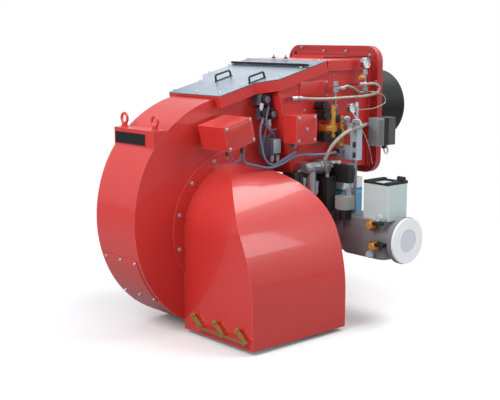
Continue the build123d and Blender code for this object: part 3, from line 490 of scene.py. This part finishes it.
# %% Finish for every node
finish_for_slot = {
    "red_paint": red_enamel, "hatch_metal": hatch_steel, "black_plastic": black_moulding,
    "black_steel": black_enamel, "gasket_black": seal_rubber, "zinc_steel": zinc_plate,
    "brass": turned_brass, "yellow_zinc": yellow_passivate, "cast_grey": cast_alloy_dark,
    "actuator_grey": actuator_shell, "light_plastic": pale_moulding, "cap_white": white_moulding,
    "aluminium_cast": cast_alloy_light, "hose_braid": flex_braid, "cable_blue": blue_sleeving,
    "gauge_steel": polished_rim, "needle_black": black_moulding, "motor_grey": motor_enamel,
    "burnt_steel": heat_stained,
}
finish_for_node = {
    "mounting_plate": plate_enamel, "head_servo": servo_shell, "valve_governor": governor_shell,
    "gas_pressure_switch": gas_switch_shell, "oil_pump_motor": pump_metal, "oil_pump": pump_metal,
    "air_switches": switch_blue, "damper_blade_1": damper_metal, "damper_blade_2": damper_metal,
    "damper_blade_3": damper_metal, "hatch_rear": rear_hatch_steel,
}
for name, obj in nodes.items():
    finish = finish_for_node.get(name, finish_for_slot[slot_of[name]])
    obj.data.materials.clear()
    obj.data.materials.append(finish)
print("dressed", len(nodes), "nodes")

# %% [markdown]
# ## Screws and bolts
# All the covers are held by a few kinds of screws. Each kind is modelled once, standing on the origin
# and pointing up, and copied to its places.
# A cylinder gives the first outline; insetting and lifting its top face cuts the chamfer that catches
# the light.

# %% Face selection by direction
def select_faces(obj, direction, least=0.9, where=None):
    """Enters edit mode with only the faces that look one way selected."""
    pick(obj)
    bpy.ops.object.mode_set(mode="EDIT")
    bpy.ops.mesh.select_mode(type="FACE")
    bpy.ops.mesh.select_all(action="DESELECT")
    bpy.ops.object.mode_set(mode="OBJECT")
    found = 0
    for face in obj.data.polygons:
        if face.normal.dot(Vector(direction)) > least and (where is None or where(face.center)):
            face.select = True
            found += 1
    bpy.ops.object.mode_set(mode="EDIT")
    return found


def leave_edit():
    bpy.ops.object.mode_set(mode="OBJECT")


print("face picking ready")

# %% A hexagon bolt with its washer
def hexagon_bolt(across, head, washer):
    clear_selection()
    bpy.ops.mesh.primitive_cylinder_add(vertices=6, radius=across / 2 / math.cos(math.pi / 6),
                                        depth=head,
                                        location=(0, 0, head / 2 + 0.0015))
    bolt = bpy.context.object
    settle(bolt)
    select_faces(bolt, (0, 0, 1))
    bpy.ops.mesh.inset(thickness=across * 0.07)
    bpy.ops.transform.translate(value=(0, 0, head * 0.14))
    leave_edit()
    clear_selection()
    bpy.ops.mesh.primitive_cylinder_add(vertices=20, radius=washer / 2, depth=0.002,
                                        location=(0, 0, 0.001))
    ring = bpy.context.object
    settle(ring)
    select_faces(ring, (0, 0, 1))
    bpy.ops.mesh.inset(thickness=0.0006)
    bpy.ops.transform.translate(value=(0, 0, 0.0005))
    leave_edit()
    whole = join("bolt_pattern", [bolt, ring])
    smooth(whole)
    return whole


def pan_screw(width, head):
    """A low domed screw with a round drive sunk into it."""
    clear_selection()
    bpy.ops.mesh.primitive_cylinder_add(vertices=20, radius=width / 2, depth=head * 0.5,
                                        location=(0, 0, head * 0.25))
    screw = bpy.context.object
    settle(screw)
    for step in (0.16, 0.3):
        select_faces(screw, (0, 0, 1))
        bpy.ops.mesh.inset(thickness=width * step * 0.5)
        bpy.ops.transform.translate(value=(0, 0, head * 0.25))
        leave_edit()
    select_faces(screw, (0, 0, 1))
    bpy.ops.mesh.inset(thickness=width * 0.08)
    bpy.ops.transform.translate(value=(0, 0, -head * 0.4))
    leave_edit()
    smooth(screw, 40)
    return screw


def repeat(template, name, places, body, slot, finish, keep=False):
    """Copies a pattern to places (point, direction it stands in) as one piece."""
    copies = []
    for point, direction in places:
        copy = template.copy()
        copy.data = template.data.copy()
        bpy.context.scene.collection.objects.link(copy)
        turn = Vector((0, 0, 1)).rotation_difference(Vector(direction).normalized())
        copy.data.transform(Matrix.Translation(Vector(point)) @ turn.to_matrix().to_4x4())
        copies.append(copy)
    if not keep:
        bpy.data.objects.remove(template)
    return finish_piece(join(name, copies), name, body, slot, finish)


print("fastener makers ready")

# %% Bolts round the intake ring
fan_centre = Vector((0, -0.956, -0.560))
bolt_circle = 0.3655
first_bolt_angle = 193.5
bolt_angle_step = 27.7
bolts_left_out = (4, 5)
ring_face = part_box("intake_ring")[1].x
ring_places = []
for step in range(9):
    if step in bolts_left_out:
        continue
    angle = math.radians(first_bolt_angle - bolt_angle_step * step)
    ring_places.append(((ring_face, fan_centre.y + bolt_circle * math.cos(angle),
                         fan_centre.z + bolt_circle * math.sin(angle)), (1, 0, 0)))
repeat(hexagon_bolt(0.015, 0.008, 0.023), "ring_bolts", ring_places, *zinc_look)

# %% [markdown]
# ## Inspection hatch
# Two sheet covers lie on a sloping frame. Their screws follow the edge, a black strip under the rear cover where it
# steps over the front one is partly rubber lip and partly painted shade, and two slim pins stand on top.
# All positions are given along the slope and turned into the common frame with one small function.

# %% Hatch slope
hatch_front_y, hatch_front_z = -1.074, 0.119
hatch_rear_y, hatch_rear_z = -0.411, 0.285
hatch_split_y = -0.547
lip_half_width = 0.312
slope = math.atan2(hatch_rear_z - hatch_front_z, hatch_rear_y - hatch_front_y)
hatch_up = Vector((0, -math.sin(slope), math.cos(slope)))
hatch_along = Vector((0, math.cos(slope), math.sin(slope)))
hatch_origin = Vector((0, hatch_front_y, hatch_front_z))
cover_top = 0.0073


def on_hatch(across, along, height=cover_top):
    return hatch_origin + Vector((across, 0, 0)) + hatch_along * along + hatch_up * height


front_places = [(on_hatch(x, d), hatch_up) for x, d in
                ((-0.190, 0.022), (0.190, 0.022), (-0.190, 0.205), (0.190, 0.17), (-0.292, 0.36),
                 (0.292, 0.36),
                 (-0.292, 0.51), (0.292, 0.51), (0.0, 0.022))]
rear_places = [(on_hatch(x, d), hatch_up) for x, d in
               ((-0.285, 0.570), (0.285, 0.570), (-0.285, 0.655), (0.285, 0.655), (-0.03, 0.578), (0.0, 0.655))]
screw = pan_screw(0.014, 0.0055)
repeat(screw, "front_cover_screws", front_places, "front_cover", "zinc_steel", zinc_plate, keep=True)
repeat(screw, "rear_cover_screws", rear_places, "rear_cover", "zinc_steel", zinc_plate)

# %% Rubber lip and painted shade at the step between the covers
def strip(name, corners, width, height, body, slot, finish):
    """A bar between two points of the hatch slope, shaped from a cube."""
    clear_selection()
    first, last = corners
    middle = (first + last) / 2
    bpy.ops.mesh.primitive_cube_add(size=1, location=(0, 0, 0))
    bar = bpy.context.object
    bar.scale = ((last - first).length, width, height)
    settle(bar)
    ahead = (last - first).normalized()
    side = hatch_up.cross(ahead)
    place = Matrix((ahead, side, hatch_up)).transposed().to_4x4()
    place.translation = middle
    bar.data.transform(place)
    rounding = bar.modifiers.new("soft_edges", "BEVEL")
    rounding.width = min(width, height) * 0.3
    rounding.segments = 2
    apply_all(bar)
    smooth(bar)
    return finish_piece(bar, name, body, slot, finish)


split_along = (hatch_split_y - hatch_front_y) / math.cos(slope)
# The black split seal is partly a rubber lip and partly painted shade under the step of the rear cover.
strip("split_seal_and_shade", (on_hatch(-lip_half_width, split_along + 0.004, 0.0125),
                     on_hatch(lip_half_width, split_along + 0.004, 0.0125)),
      0.012, 0.013, "rear_cover", "gasket_black", seal_rubber)
strip("split_cap", (on_hatch(-lip_half_width, split_along + 0.018, 0.0105),
                    on_hatch(lip_half_width, split_along + 0.018, 0.0105)),
      0.028, 0.006, "rear_cover", "hatch_metal", hatch_steel)

# %% Hatch pins
clear_selection()
bpy.ops.mesh.primitive_cylinder_add(vertices=16, radius=0.0042, depth=0.022, location=(0, 0, 0.011))
pin = bpy.context.object
settle(pin)
select_faces(pin, (0, 0, 1))
bpy.ops.transform.resize(value=(0.45, 0.45, 1))
leave_edit()
clear_selection()
bpy.ops.mesh.primitive_cylinder_add(vertices=16, radius=0.011, depth=0.006, location=(0, 0, 0.003))
foot = bpy.context.object
settle(foot)
select_faces(foot, (0, 0, 1))
bpy.ops.mesh.inset(thickness=0.004)
bpy.ops.transform.translate(value=(0, 0, 0.003))
leave_edit()
pin = join("pin_pattern", [pin, foot])
smooth(pin)
repeat(pin, "rear_cover_pins",
       [(on_hatch(-0.086, 0.672), (0, 0, 1)), (on_hatch(0.012, 0.672), (0, 0, 1))],
       "rear_cover", "black_plastic", black_moulding)

# %% [markdown]
# ## Cover plates
# The control boxes close with a thin plate that stands slightly proud of the box. Insetting the plate's
# face and pressing the middle out a little gives the shallow raised field of a folded sheet cover.

# %% Cover plate maker
def cover_plate(name, centre, size, raise_by, tilt, body, slot, finish, dish=0.0012):
    """A plate facing +X: size is (thickness, width along Y, height along Z)."""
    clear_selection()
    bpy.ops.mesh.primitive_cube_add(size=1, location=(0, 0, 0))
    plate = bpy.context.object
    plate.scale = size
    settle(plate)
    select_faces(plate, (1, 0, 0))
    bpy.ops.mesh.inset(thickness=0.012)
    bpy.ops.mesh.inset(thickness=0.002)
    bpy.ops.transform.translate(value=(raise_by, 0, 0))
    leave_edit()
    rounding = plate.modifiers.new("soft_edges", "BEVEL")
    rounding.width = dish
    rounding.segments = 2
    apply_all(plate)
    turn = Matrix.Rotation(tilt, 4, "X")
    turn.translation = Vector(centre)
    plate.data.transform(turn)
    smooth(plate)
    return finish_piece(plate, name, body, slot, finish)


junction_centre = Vector((0.405, -1.106, -0.060))
cover_plate("junction_cover_field", junction_centre + Vector((0.0008, 0, 0)), (0.002, 0.178, 0.124),
            0.0010, slope,
            *red_look)
side_low, side_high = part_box("side_box")
side_centre = Vector((side_high.x + 0.0008, (side_low.y + side_high.y) / 2,
                      (side_low.z + side_high.z) / 2))
cover_plate("side_box_cover_field", side_centre,
            (0.002, side_high.y - side_low.y - 0.006, side_high.z - side_low.z - 0.006),
            0.0010, 0.0, *red_look)

# %% Cover screws
def tilted(centre, across, up, out=0.0026):
    turn = Matrix.Rotation(slope, 3, "X")
    return Vector(centre) + turn @ Vector((out, across, up))


big_screw = hexagon_bolt(0.011, 0.005, 0.018)
junction_places = [(tilted(junction_centre, y, z, 0.0018), (1, 0, 0)) for y, z in
                   ((-0.078, 0.051), (0.078, 0.051), (-0.078, -0.051), (0.078, -0.051))]
side_places = [((side_high.x + 0.0018, y, z), (1, 0, 0)) for y in (side_low.y + 0.018,
                                                                   side_high.y - 0.018)
               for z in (side_low.z + 0.018, side_high.z - 0.018)]
side_places.append(((side_high.x + 0.0028, side_centre.y, side_centre.z), (1, 0, 0)))
repeat(big_screw, "junction_screws", junction_places, *zinc_look, keep=True)
repeat(big_screw, "side_box_screws", side_places, *zinc_look, keep=True)

# %% Rim cover screws
snail_start_radius = 0.6604
snail_start_angle = 52
snail_shrink = 0.00108


def rim_point(degrees, lift):
    """A point on the snail and the way out from it; degrees run from the top to the back."""
    base = math.radians(degrees)
    radius = snail_start_radius - snail_shrink * (degrees - snail_start_angle) + lift
    outward = Vector((0, -math.sin(base), math.cos(base)))
    return Vector((0, fan_centre.y, fan_centre.z)) + outward * radius, outward


rim_places = []
for degrees in (102.5, 124.5):
    point, outward = rim_point(degrees, 0.0042)
    for x in (-0.125, 0.0, 0.125):
        rim_places.append((point + Vector((x, 0, 0)), outward))
repeat(big_screw, "rim_cover_screws", rim_places, *zinc_look)

# %% [markdown]
# ## Pressure gauges
# Each gauge is a steel case whose open side shows a white dial under a rim. The dial gets a scale ring
# of plain ticks and a black pointer.

# %% Gauge dials
def gauge(name, node_centre, radius):
    """A dial that faces +X: white disc, tick marks, pointer and a rolled rim."""
    x, y, z = node_centre
    turn = Matrix.Rotation(math.radians(90), 4, "Y")
    turn.translation = Vector((x, y, z))
    clear_selection()
    bpy.ops.mesh.primitive_cylinder_add(vertices=48, radius=radius * 0.84, depth=0.002,
                                        location=(0, 0, 0.001))
    disc = bpy.context.object
    settle(disc)
    select_faces(disc, (0, 0, 1))
    bpy.ops.mesh.inset(thickness=radius * 0.06)
    bpy.ops.transform.translate(value=(0, 0, -0.0005))
    leave_edit()
    disc.data.transform(turn)
    finish_piece(disc, name + "_dial", *white_look)
    marks = []
    for step in range(11):
        angle = math.radians(225 - 27 * step)
        clear_selection()
        bpy.ops.mesh.primitive_cube_add(size=1, location=(0, 0, 0))
        mark = bpy.context.object
        mark.scale = (radius * (0.16 if step % 5 else 0.24), radius * 0.035, 0.0006)
        settle(mark)
        spin = Matrix.Rotation(angle, 4, "Z") @ Matrix.Translation((radius * 0.62, 0, 0.0022))
        mark.data.transform(spin)
        marks.append(mark)
    clear_selection()
    bpy.ops.mesh.primitive_cube_add(size=1, location=(0, 0, 0))
    pointer = bpy.context.object
    pointer.scale = (radius * 0.78, radius * 0.05, 0.0007)
    settle(pointer)
    select_faces(pointer, (1, 0, 0))
    bpy.ops.transform.resize(value=(1, 0.3, 1))
    leave_edit()
    pointer.data.transform(Matrix.Rotation(math.radians(150), 4,
                                           "Z") @ Matrix.Translation((radius * 0.24, 0, 0.0034)))
    marks.append(pointer)
    scale_marks = join(name + "_scale", marks)
    scale_marks.data.transform(turn)
    finish_piece(scale_marks, name + "_scale", "burner", "needle_black", black_moulding)
    clear_selection()
    bpy.ops.mesh.primitive_torus_add(major_segments=48, minor_segments=12, major_radius=radius * 0.93,
                                     minor_radius=radius * 0.09)
    rim = bpy.context.object
    settle(rim)
    rim.data.transform(Matrix.Translation((0.0062, 0, 0)) @ turn)
    smooth(rim, 60)
    finish_piece(rim, name + "_rim", "burner", "gauge_steel", polished_rim)


print("gauge maker ready")

# %% Place the gauges
dial_seat = 0.0185
for name, (x, y, z, radius) in (("upper_gauge", (0.350, -0.152, 0.268, 0.029)),
                                ("lower_gauge", (0.428, -0.345, 0.033, 0.025))):
    gauge(name, (x + dial_seat, y, z), radius)

# %% [markdown]
# ## Small parts on the side
# The fine fittings are all turned shapes or small blocks. A turned shape grows from one cylinder, ring
# by ring, with its top face drawn up and in or out. A block gets soft edges and a raised field.

# %% Turned shapes and blocks
def turned(steps, sides=20):
    """A stepped rod on the origin pointing up; steps are (radius, length)."""
    radius, length = steps[0]
    clear_selection()
    bpy.ops.mesh.primitive_cylinder_add(vertices=sides, radius=radius, depth=length,
                                        location=(0, 0, length / 2))
    rod = bpy.context.object
    settle(rod)
    select_faces(rod, (0, 0, 1))
    for wide, long in steps[1:]:
        bpy.ops.mesh.extrude_region_move()
        bpy.ops.transform.resize(value=(wide / radius, wide / radius, 1))
        bpy.ops.mesh.extrude_region_move(TRANSFORM_OT_translate={"value": (0, 0, long)})
        radius = wide
    leave_edit()
    smooth(rod)
    return rod


def soft_block(size, bevel=0.002, field=None):
    """A block standing on the origin; field is (margin, rise) of its raised top."""
    clear_selection()
    bpy.ops.mesh.primitive_cube_add(size=1, location=(0, 0, 0))
    block = bpy.context.object
    block.scale = size
    settle(block)
    block.data.transform(Matrix.Translation((0, 0, size[2] / 2)))
    if field:
        select_faces(block, (0, 0, 1))
        bpy.ops.mesh.inset(thickness=field[0])
        bpy.ops.transform.translate(value=(0, 0, field[1]))
        leave_edit()
    rounding = block.modifiers.new("soft_edges", "BEVEL")
    rounding.width = bevel
    rounding.segments = 2
    apply_all(block)
    smooth(block)
    return block


def lead(name, points, radius, body, slot, finish):
    """A cable or hose laid through points given in millimetres."""
    curve = bpy.data.curves.new(name, "CURVE")
    curve.dimensions = "3D"
    curve.bevel_depth = radius
    curve.bevel_resolution = 3
    curve.resolution_u = 8
    spline = curve.splines.new("NURBS")
    spline.points.add(len(points) - 1)
    for point, (x, y, z) in zip(spline.points, points):
        point.co = (x / 1000, y / 1000, z / 1000, 1)
    spline.order_u = 3
    spline.use_endpoint_u = True
    obj = bpy.data.objects.new(name, curve)
    bpy.context.scene.collection.objects.link(obj)
    pick(obj)
    bpy.ops.object.convert(target="MESH")
    obj = bpy.context.object
    smooth(obj, 60)
    return finish_piece(obj, name, body, slot, finish)


def mm(x, y, z):
    return Vector((x / 1000, y / 1000, z / 1000))


east, south, up = (1, 0, 0), (0, -1, 0), (0, 0, 1)
print("turned shapes, blocks and leads ready")

# %% Air switches in the recess
repeat(turned([(0.031, 0.006), (0.028, 0.010), (0.022, 0.003)], 28), "switch_domes",
       [(mm(232, -781, 90), east)], *black_look)
repeat(turned([(0.017, 0.003), (0.014, 0.001)], 28), "switch_dials",
       [(mm(251, -781, 90), east), (mm(262, -744, 12), east)],
       "burner", "cable_blue", switch_blue)
repeat(turned([(0.024, 0.010), (0.020, 0.006), (0.024, 0.010)], 20), "switch_sockets",
       [(mm(236, -744, 12), east), (mm(232, -795, 20), east)], *black_look)
repeat(soft_block((0.074, 0.046, 0.012), 0.003, (0.006, 0.002)), "switch_lid",
       [(mm(262, -727, -158), east)],
       *pale_look)
repeat(turned([(0.011, 0.012), (0.008, 0.004), (0.010, 0.012), (0.007, 0.010)], 12), "switch_glands",
       [(mm(256, -712, -208), (0, 0, -1)), (mm(246, -742, -208), (0, 0, -1)),
        (mm(236, -808, 66), (0.4, -0.5, -1)),
        (mm(240, -760, -18), (0.2, 0, -1))], *pale_look)
lead("recess_lead_1",
     [(205, -770, 12), (252, -806, 0), (238, -826, -70), (250, -822, -150), (288, -838, -215),
      (318, -815, -252),
                       (331, -770, -236), (341, -660, -186)], 0.007, *blue_look)
lead("recess_lead_2",
     [(240, -760, 60), (262, -790, 40), (258, -800, -40), (268, -770, -80), (262, -735, -100),
      (250, -730, -118)],
     0.004, *blue_look)
lead("recess_lead_3",
     [(248, -742, -234), (262, -760, -262), (262, -790, -250), (236, -806, -170), (240, -790, -90),
      (236, -760, -20)],
     0.004, *blue_look)
lead("recess_lead_4",
     [(226, -800, -20), (268, -790, -60), (282, -760, -70), (264, -720, -60), (240, -740, -90),
      (236, -780, -110)],
     0.0030, *blue_look)

# %% Loops under the junction box
lead("loop_lead_1", [(392, -1180, -150), (392, -1176, -182), (390, -1140, -206), (388, -1094, -188),
                     (390, -1078, -142)],
     0.0022, *blue_look)
lead("loop_lead_2", [(386, -1150, -146), (388, -1146, -176), (386, -1110, -200), (382, -1068, -180),
                     (384, -1052, -132)],
     0.0022, *blue_look)
repeat(turned([(0.009, 0.008), (0.007, 0.003), (0.008, 0.010)], 12), "junction_glands",
       [(mm(390, -1178, -140), (0, 0, -1)), (mm(388, -1080, -132), (0, 0, -1))], *black_look)

# %% Panel, boss and bolts on the housing wall
lip_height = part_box("head_housing")[1].z * 1000 + 1
repeat(soft_block((0.092, 0.215, 0.004), 0.0015, (0.006, 0.003)), "wall_panel",
       [(mm(300.2, -492, 134), east)],
       *red_look)
repeat(turned([(0.014, 0.005), (0.0095, 0.007), (0.007, 0.002)], 24), "wall_boss",
       [(mm(300, -634, -161), east)],
       *zinc_look)
repeat(pan_screw(0.011, 0.004), "wall_screws",
       [(mm(304.4, y, z), east) for y in (-588, -396) for z in (98, 170)]
       + [(mm(300.2, -338, 206), east), (mm(300.2, -560, 24), east)],
       *zinc_look)
lead("hatch_lip", [(300.5, -412, lip_height), (300.5, -60, lip_height)], 0.004, "burner", "gasket_black",
     seal_rubber)

# %% Servo ribs, screws and loop
repeat(soft_block((0.138, 0.004, 0.004), 0.0008, (0.001, 0.001)), "servo_ribs",
       [(mm(500, y, -104), east) for y in (-188, -180, -172, -164, -156, -148)], "burner", "actuator_grey", servo_shell)
repeat(pan_screw(0.009, 0.003), "servo_screws",
       [(mm(500, y, z), east) for y in (-92, -52) for z in (-40, -168)],
       *black_look)
lead("servo_loop", [(466, -100, -196), (470, -100, -214), (474, -86, -232), (470, -66, -226),
                    (462, -62, -200), (452, -70, -184)],
     0.006, *white_look)

# %% Pilot column fittings
repeat(soft_block((0.030, 0.022, 0.005), 0.001, (0.003, 0.001)), "pilot_sockets",
       [(mm(490, -371, -158), east), (mm(490, -371, -214), east), (mm(400, -401, -196), (0, -1, 0))], *black_look)
repeat(turned([(0.013, 0.012), (0.010, 0.006), (0.013, 0.014), (0.009, 0.012)], 16), "pilot_nozzles",
       [(mm(400, -393, -252), (0, 0, -1)), (mm(382, -416, -252), (0, 0, -1))], *white_look)
repeat(turned([(0.028, 0.010), (0.022, 0.004), (0.028, 0.012), (0.018, 0.006)], 6), "pilot_nuts",
       [(mm(467, -371, -76), up), (mm(464, -371, -262), (0, 0, -1)), (mm(464, -371, -430), up)], *pump_look)
repeat(turned([(0.016, 0.012), (0.012, 0.004), (0.017, 0.012), (0.010, 0.008)], 6), "pilot_side_nuts",
       [(mm(442, -371, -40), (-1, 0, 0)), (mm(490, -371, -40), east), (mm(467, -394, -20), south)], *pump_look)
lead("pilot_capillary",
     [(476, -371, 10), (500, -350, -40), (510, -300, -120), (512, -262, -200), (506, -240, -270)],
     0.0022, "burner", "gauge_steel", polished_rim)

# %% Hose ferrules
repeat(turned([(0.013, 0.010), (0.0105, 0.004), (0.0125, 0.014), (0.011, 0.012)], 12), "hose_ferrules",
       [(mm(346, -660, 95), (0, 1, -0.06)), (mm(395, -186, 154), (-0.1, -1, 0)),
        (mm(352, -349, 134), (0, 1, 0))],
       *pump_look)
repeat(turned([(0.017, 0.010), (0.012, 0.004), (0.015, 0.010)], 6), "pipe_nuts",
       [(mm(352, -376, 118), up), (mm(352, -376, 150), up), (mm(363, -152, 118), up),
        (mm(363, -152, 206), up),
        (mm(352, -376, 26), up)], *pump_look)
repeat(turned([(0.013, 0.008), (0.010, 0.003), (0.014, 0.012), (0.009, 0.008)], 12), "amber_fitting",
       [(mm(363, -166, 190), (0, -1, 0))],
       *brass_look)

# %% Oil valve details
repeat(turned([(0.026, 0.004), (0.023, 0.006), (0.012, 0.004)], 20), "coil_caps",
       [(mm(368, y, z), east) for y, z in ((-464, 46), (-456, -6), (-462, -122))], *black_look)
repeat(soft_block((0.044, 0.036, 0.034), 0.003, (0.006, 0.003)), "coil_blocks",
       [(mm(352, -392, -24), east), (mm(352, -372, -104), east), (mm(340, -420, -128), east)], *black_look)
repeat(turned([(0.016, 0.010), (0.012, 0.004), (0.017, 0.014), (0.010, 0.008)], 6), "oil_nuts",
       [(mm(370, -412, 12), up), (mm(370, -412, -92), (0, 0, -1)), (mm(372, -346, -46), up),
        (mm(372, -430, -76), south)],
       *brass_look)

# %% Test plugs on the gas valve
plug_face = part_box("test_plugs")[0].y
plug_points = [(672, -560), (692, -672)]
repeat(turned([(0.024, 0.004), (0.017, 0.010), (0.021, 0.016), (0.014, 0.004)], 20), "plug_knobs",
       [((x / 1000, plug_face + 0.012, z / 1000), south) for x, z in plug_points], "burner", "yellow_zinc", turned_brass)
repeat(soft_block((0.052, 0.018, 0.040), 0.002, (0.003, 0.002)), "plug_brackets",
       [((x / 1000 + 0.044, plug_face + 0.022, z / 1000 + 0.012), south) for x, z in plug_points], *black_look)
repeat(turned([(0.020, 0.012), (0.015, 0.004), (0.017, 0.006)], 20), "plug_caps",
       [((0.722, plug_face + 0.012, -0.519), south), ((0.662, plug_face + 0.012, -0.722), south)], *pale_look)

# %% Centre of the pipe cap
cap_low, cap_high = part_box("flange_cap")
cap_centre = ((cap_low.y + cap_high.y) / 2, (cap_low.z + cap_high.z) / 2)
repeat(turned([(0.0600, 0.0012), (0.0585, 0.0006)], 64), "cap_film",
       [((cap_high.x - 0.0035, *cap_centre), east)],
       "port_cap", "cap_white", film_grey)

# %% Bolts on the mounting plate
plate_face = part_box("mounting_plate")[0].y
repeat(hexagon_bolt(0.014, 0.006, 0.020), "plate_bolts",
       [((x / 1000, plate_face, z / 1000), south) for x,
        z in ((-248, 347), (-63, 326), (114, 328), (298, 309), (347, 159), (347, -60))],
       *zinc_look)

# %% Clutter under the housing
repeat(soft_block((0.060, 0.090, 0.050), 0.003, (0.008, 0.002)), "pump_side_boxes",
       [(mm(300, -640, -300), (0, 0, -1)), (mm(322, -585, -340), south)], *black_look)
repeat(turned([(0.018, 0.030), (0.013, 0.006), (0.016, 0.030), (0.010, 0.010)], 16), "pump_unions",
       [(mm(340, -600, -330), (0, 0, -1)), (mm(372, -540, -350), (0, 0, -1)),
        (mm(330, -560, -300), south)],
       *pump_look)

# %% [markdown]
# ## Floor, light and camera
# A wide pale floor carries the shadow and fades into white far away. It throws back less light than it
# shows, so that the undersides stay dark. Broad lamps above, behind and at the sides give the soft
# reflections that gloss paint needs.

# %% Floor
fade_start, fade_end = 1.3, 3.4
floor_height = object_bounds()[0][2] - 0.002
clear_selection()
bpy.ops.mesh.primitive_plane_add(size=80, location=(0, 0, floor_height))
floor = bpy.context.object
floor.name = "studio_floor"
settle(floor)
floor_look = bpy.data.materials.new("studio_floor")
floor_look.use_nodes = True
tree = floor_look.node_tree
tree.nodes.clear()
matte = add_node(tree, "ShaderNodeBsdfDiffuse")
matte.inputs["Color"].default_value = (0.90, 0.90, 0.90, 1)
bounce = add_node(tree, "ShaderNodeBsdfDiffuse")
bounce.inputs["Color"].default_value = (0.38, 0.38, 0.39, 1)
glow = add_node(tree, "ShaderNodeEmission")
glow.inputs["Color"].default_value = (1, 1, 1, 1)
path = add_node(tree, "ShaderNodeLightPath")
seen = math_node(tree, "MAXIMUM", path.outputs["Is Camera Ray"], path.outputs["Is Transmission Ray"])
place = add_node(tree, "ShaderNodeTexCoord").outputs["Object"]
reach = add_node(tree, "ShaderNodeVectorMath", operation="LENGTH")
tree.links.new(place, reach.inputs[0])
fade = add_node(tree, "ShaderNodeMapRange", interpolation_type="SMOOTHSTEP")
tree.links.new(reach.outputs["Value"], fade.inputs["Value"])
fade.inputs["From Min"].default_value = fade_start
fade.inputs["From Max"].default_value = fade_end
blend = add_node(tree, "ShaderNodeMixShader")
tree.links.new(math_node(tree, "MULTIPLY", seen, fade.outputs["Result"]), blend.inputs["Fac"])
surface = add_node(tree, "ShaderNodeMixShader")
tree.links.new(path.outputs["Is Camera Ray"], surface.inputs["Fac"])
tree.links.new(bounce.outputs[0], surface.inputs[1])
tree.links.new(matte.outputs[0], surface.inputs[2])
tree.links.new(surface.outputs[0], blend.inputs[1])
tree.links.new(glow.outputs[0], blend.inputs[2])
tree.links.new(blend.outputs[0], add_node(tree, "ShaderNodeOutputMaterial").inputs["Surface"])
floor.data.materials.append(floor_look)
print("floor at", round(floor_height, 4))

# %% Surrounding light
world = bpy.data.worlds.new("studio")
bpy.context.scene.world = world
world.use_nodes = True
tree = world.node_tree
tree.nodes.clear()
soft = add_node(tree, "ShaderNodeBackground")
soft.inputs["Color"].default_value = (0.93, 0.96, 1.0, 1)
soft.inputs["Strength"].default_value = 0.68
white = add_node(tree, "ShaderNodeBackground")
white.inputs["Strength"].default_value = 1.0
white.inputs["Color"].default_value = (1, 1, 1, 1)
path = add_node(tree, "ShaderNodeLightPath")
seen = math_node(tree, "MAXIMUM", path.outputs["Is Camera Ray"], path.outputs["Is Transmission Ray"])
blend = add_node(tree, "ShaderNodeMixShader")
tree.links.new(seen, blend.inputs["Fac"])
tree.links.new(soft.outputs[0], blend.inputs[1])
tree.links.new(white.outputs[0], blend.inputs[2])
tree.links.new(blend.outputs[0], add_node(tree, "ShaderNodeOutputWorld").inputs["Surface"])
print("surroundings ready")

# %% Lamps
def soft_lamp(name, place, aim, size, power):
    lamp = bpy.data.lights.new(name, "AREA")
    lamp.shape = "RECTANGLE"
    lamp.size, lamp.size_y = size
    lamp.energy = power
    holder = bpy.data.objects.new(name, lamp)
    bpy.context.scene.collection.objects.link(holder)
    holder.location = place
    holder.rotation_euler = (Vector(aim) - Vector(place)).to_track_quat("-Z", "Y").to_euler()
    print("lamp", name, power, "W")


middle = (0.0, -0.6, -0.4)
soft_lamp("over_lamp", (1.0, 1.2, 3.4), middle, (3.2, 2.2), 120)
soft_lamp("front_lamp", (0.4, -4.4, 2.2), middle, (2.6, 2.0), 130)
soft_lamp("side_lamp", (4.2, 1.6, 1.6), middle, (2.0, 1.4), 42)
soft_lamp("back_lamp", (-3.2, 2.4, 1.8), middle, (2.2, 1.6), 25)

# %% Camera
eye = bpy.data.cameras.new("view_camera")
eye.lens = 70.17
eye.sensor_width = 36
camera_tilt, camera_turn = math.radians(80.21), math.radians(48.41)
camera = bpy.data.objects.new("view_camera", eye)
bpy.context.scene.collection.objects.link(camera)
camera.location = (4.0046, -4.2348, 0.4375)
camera.rotation_euler = (camera_tilt, 0, camera_turn)
bpy.context.scene.camera = camera
bpy.context.scene.view_settings.view_transform = "Standard"
print("camera set")
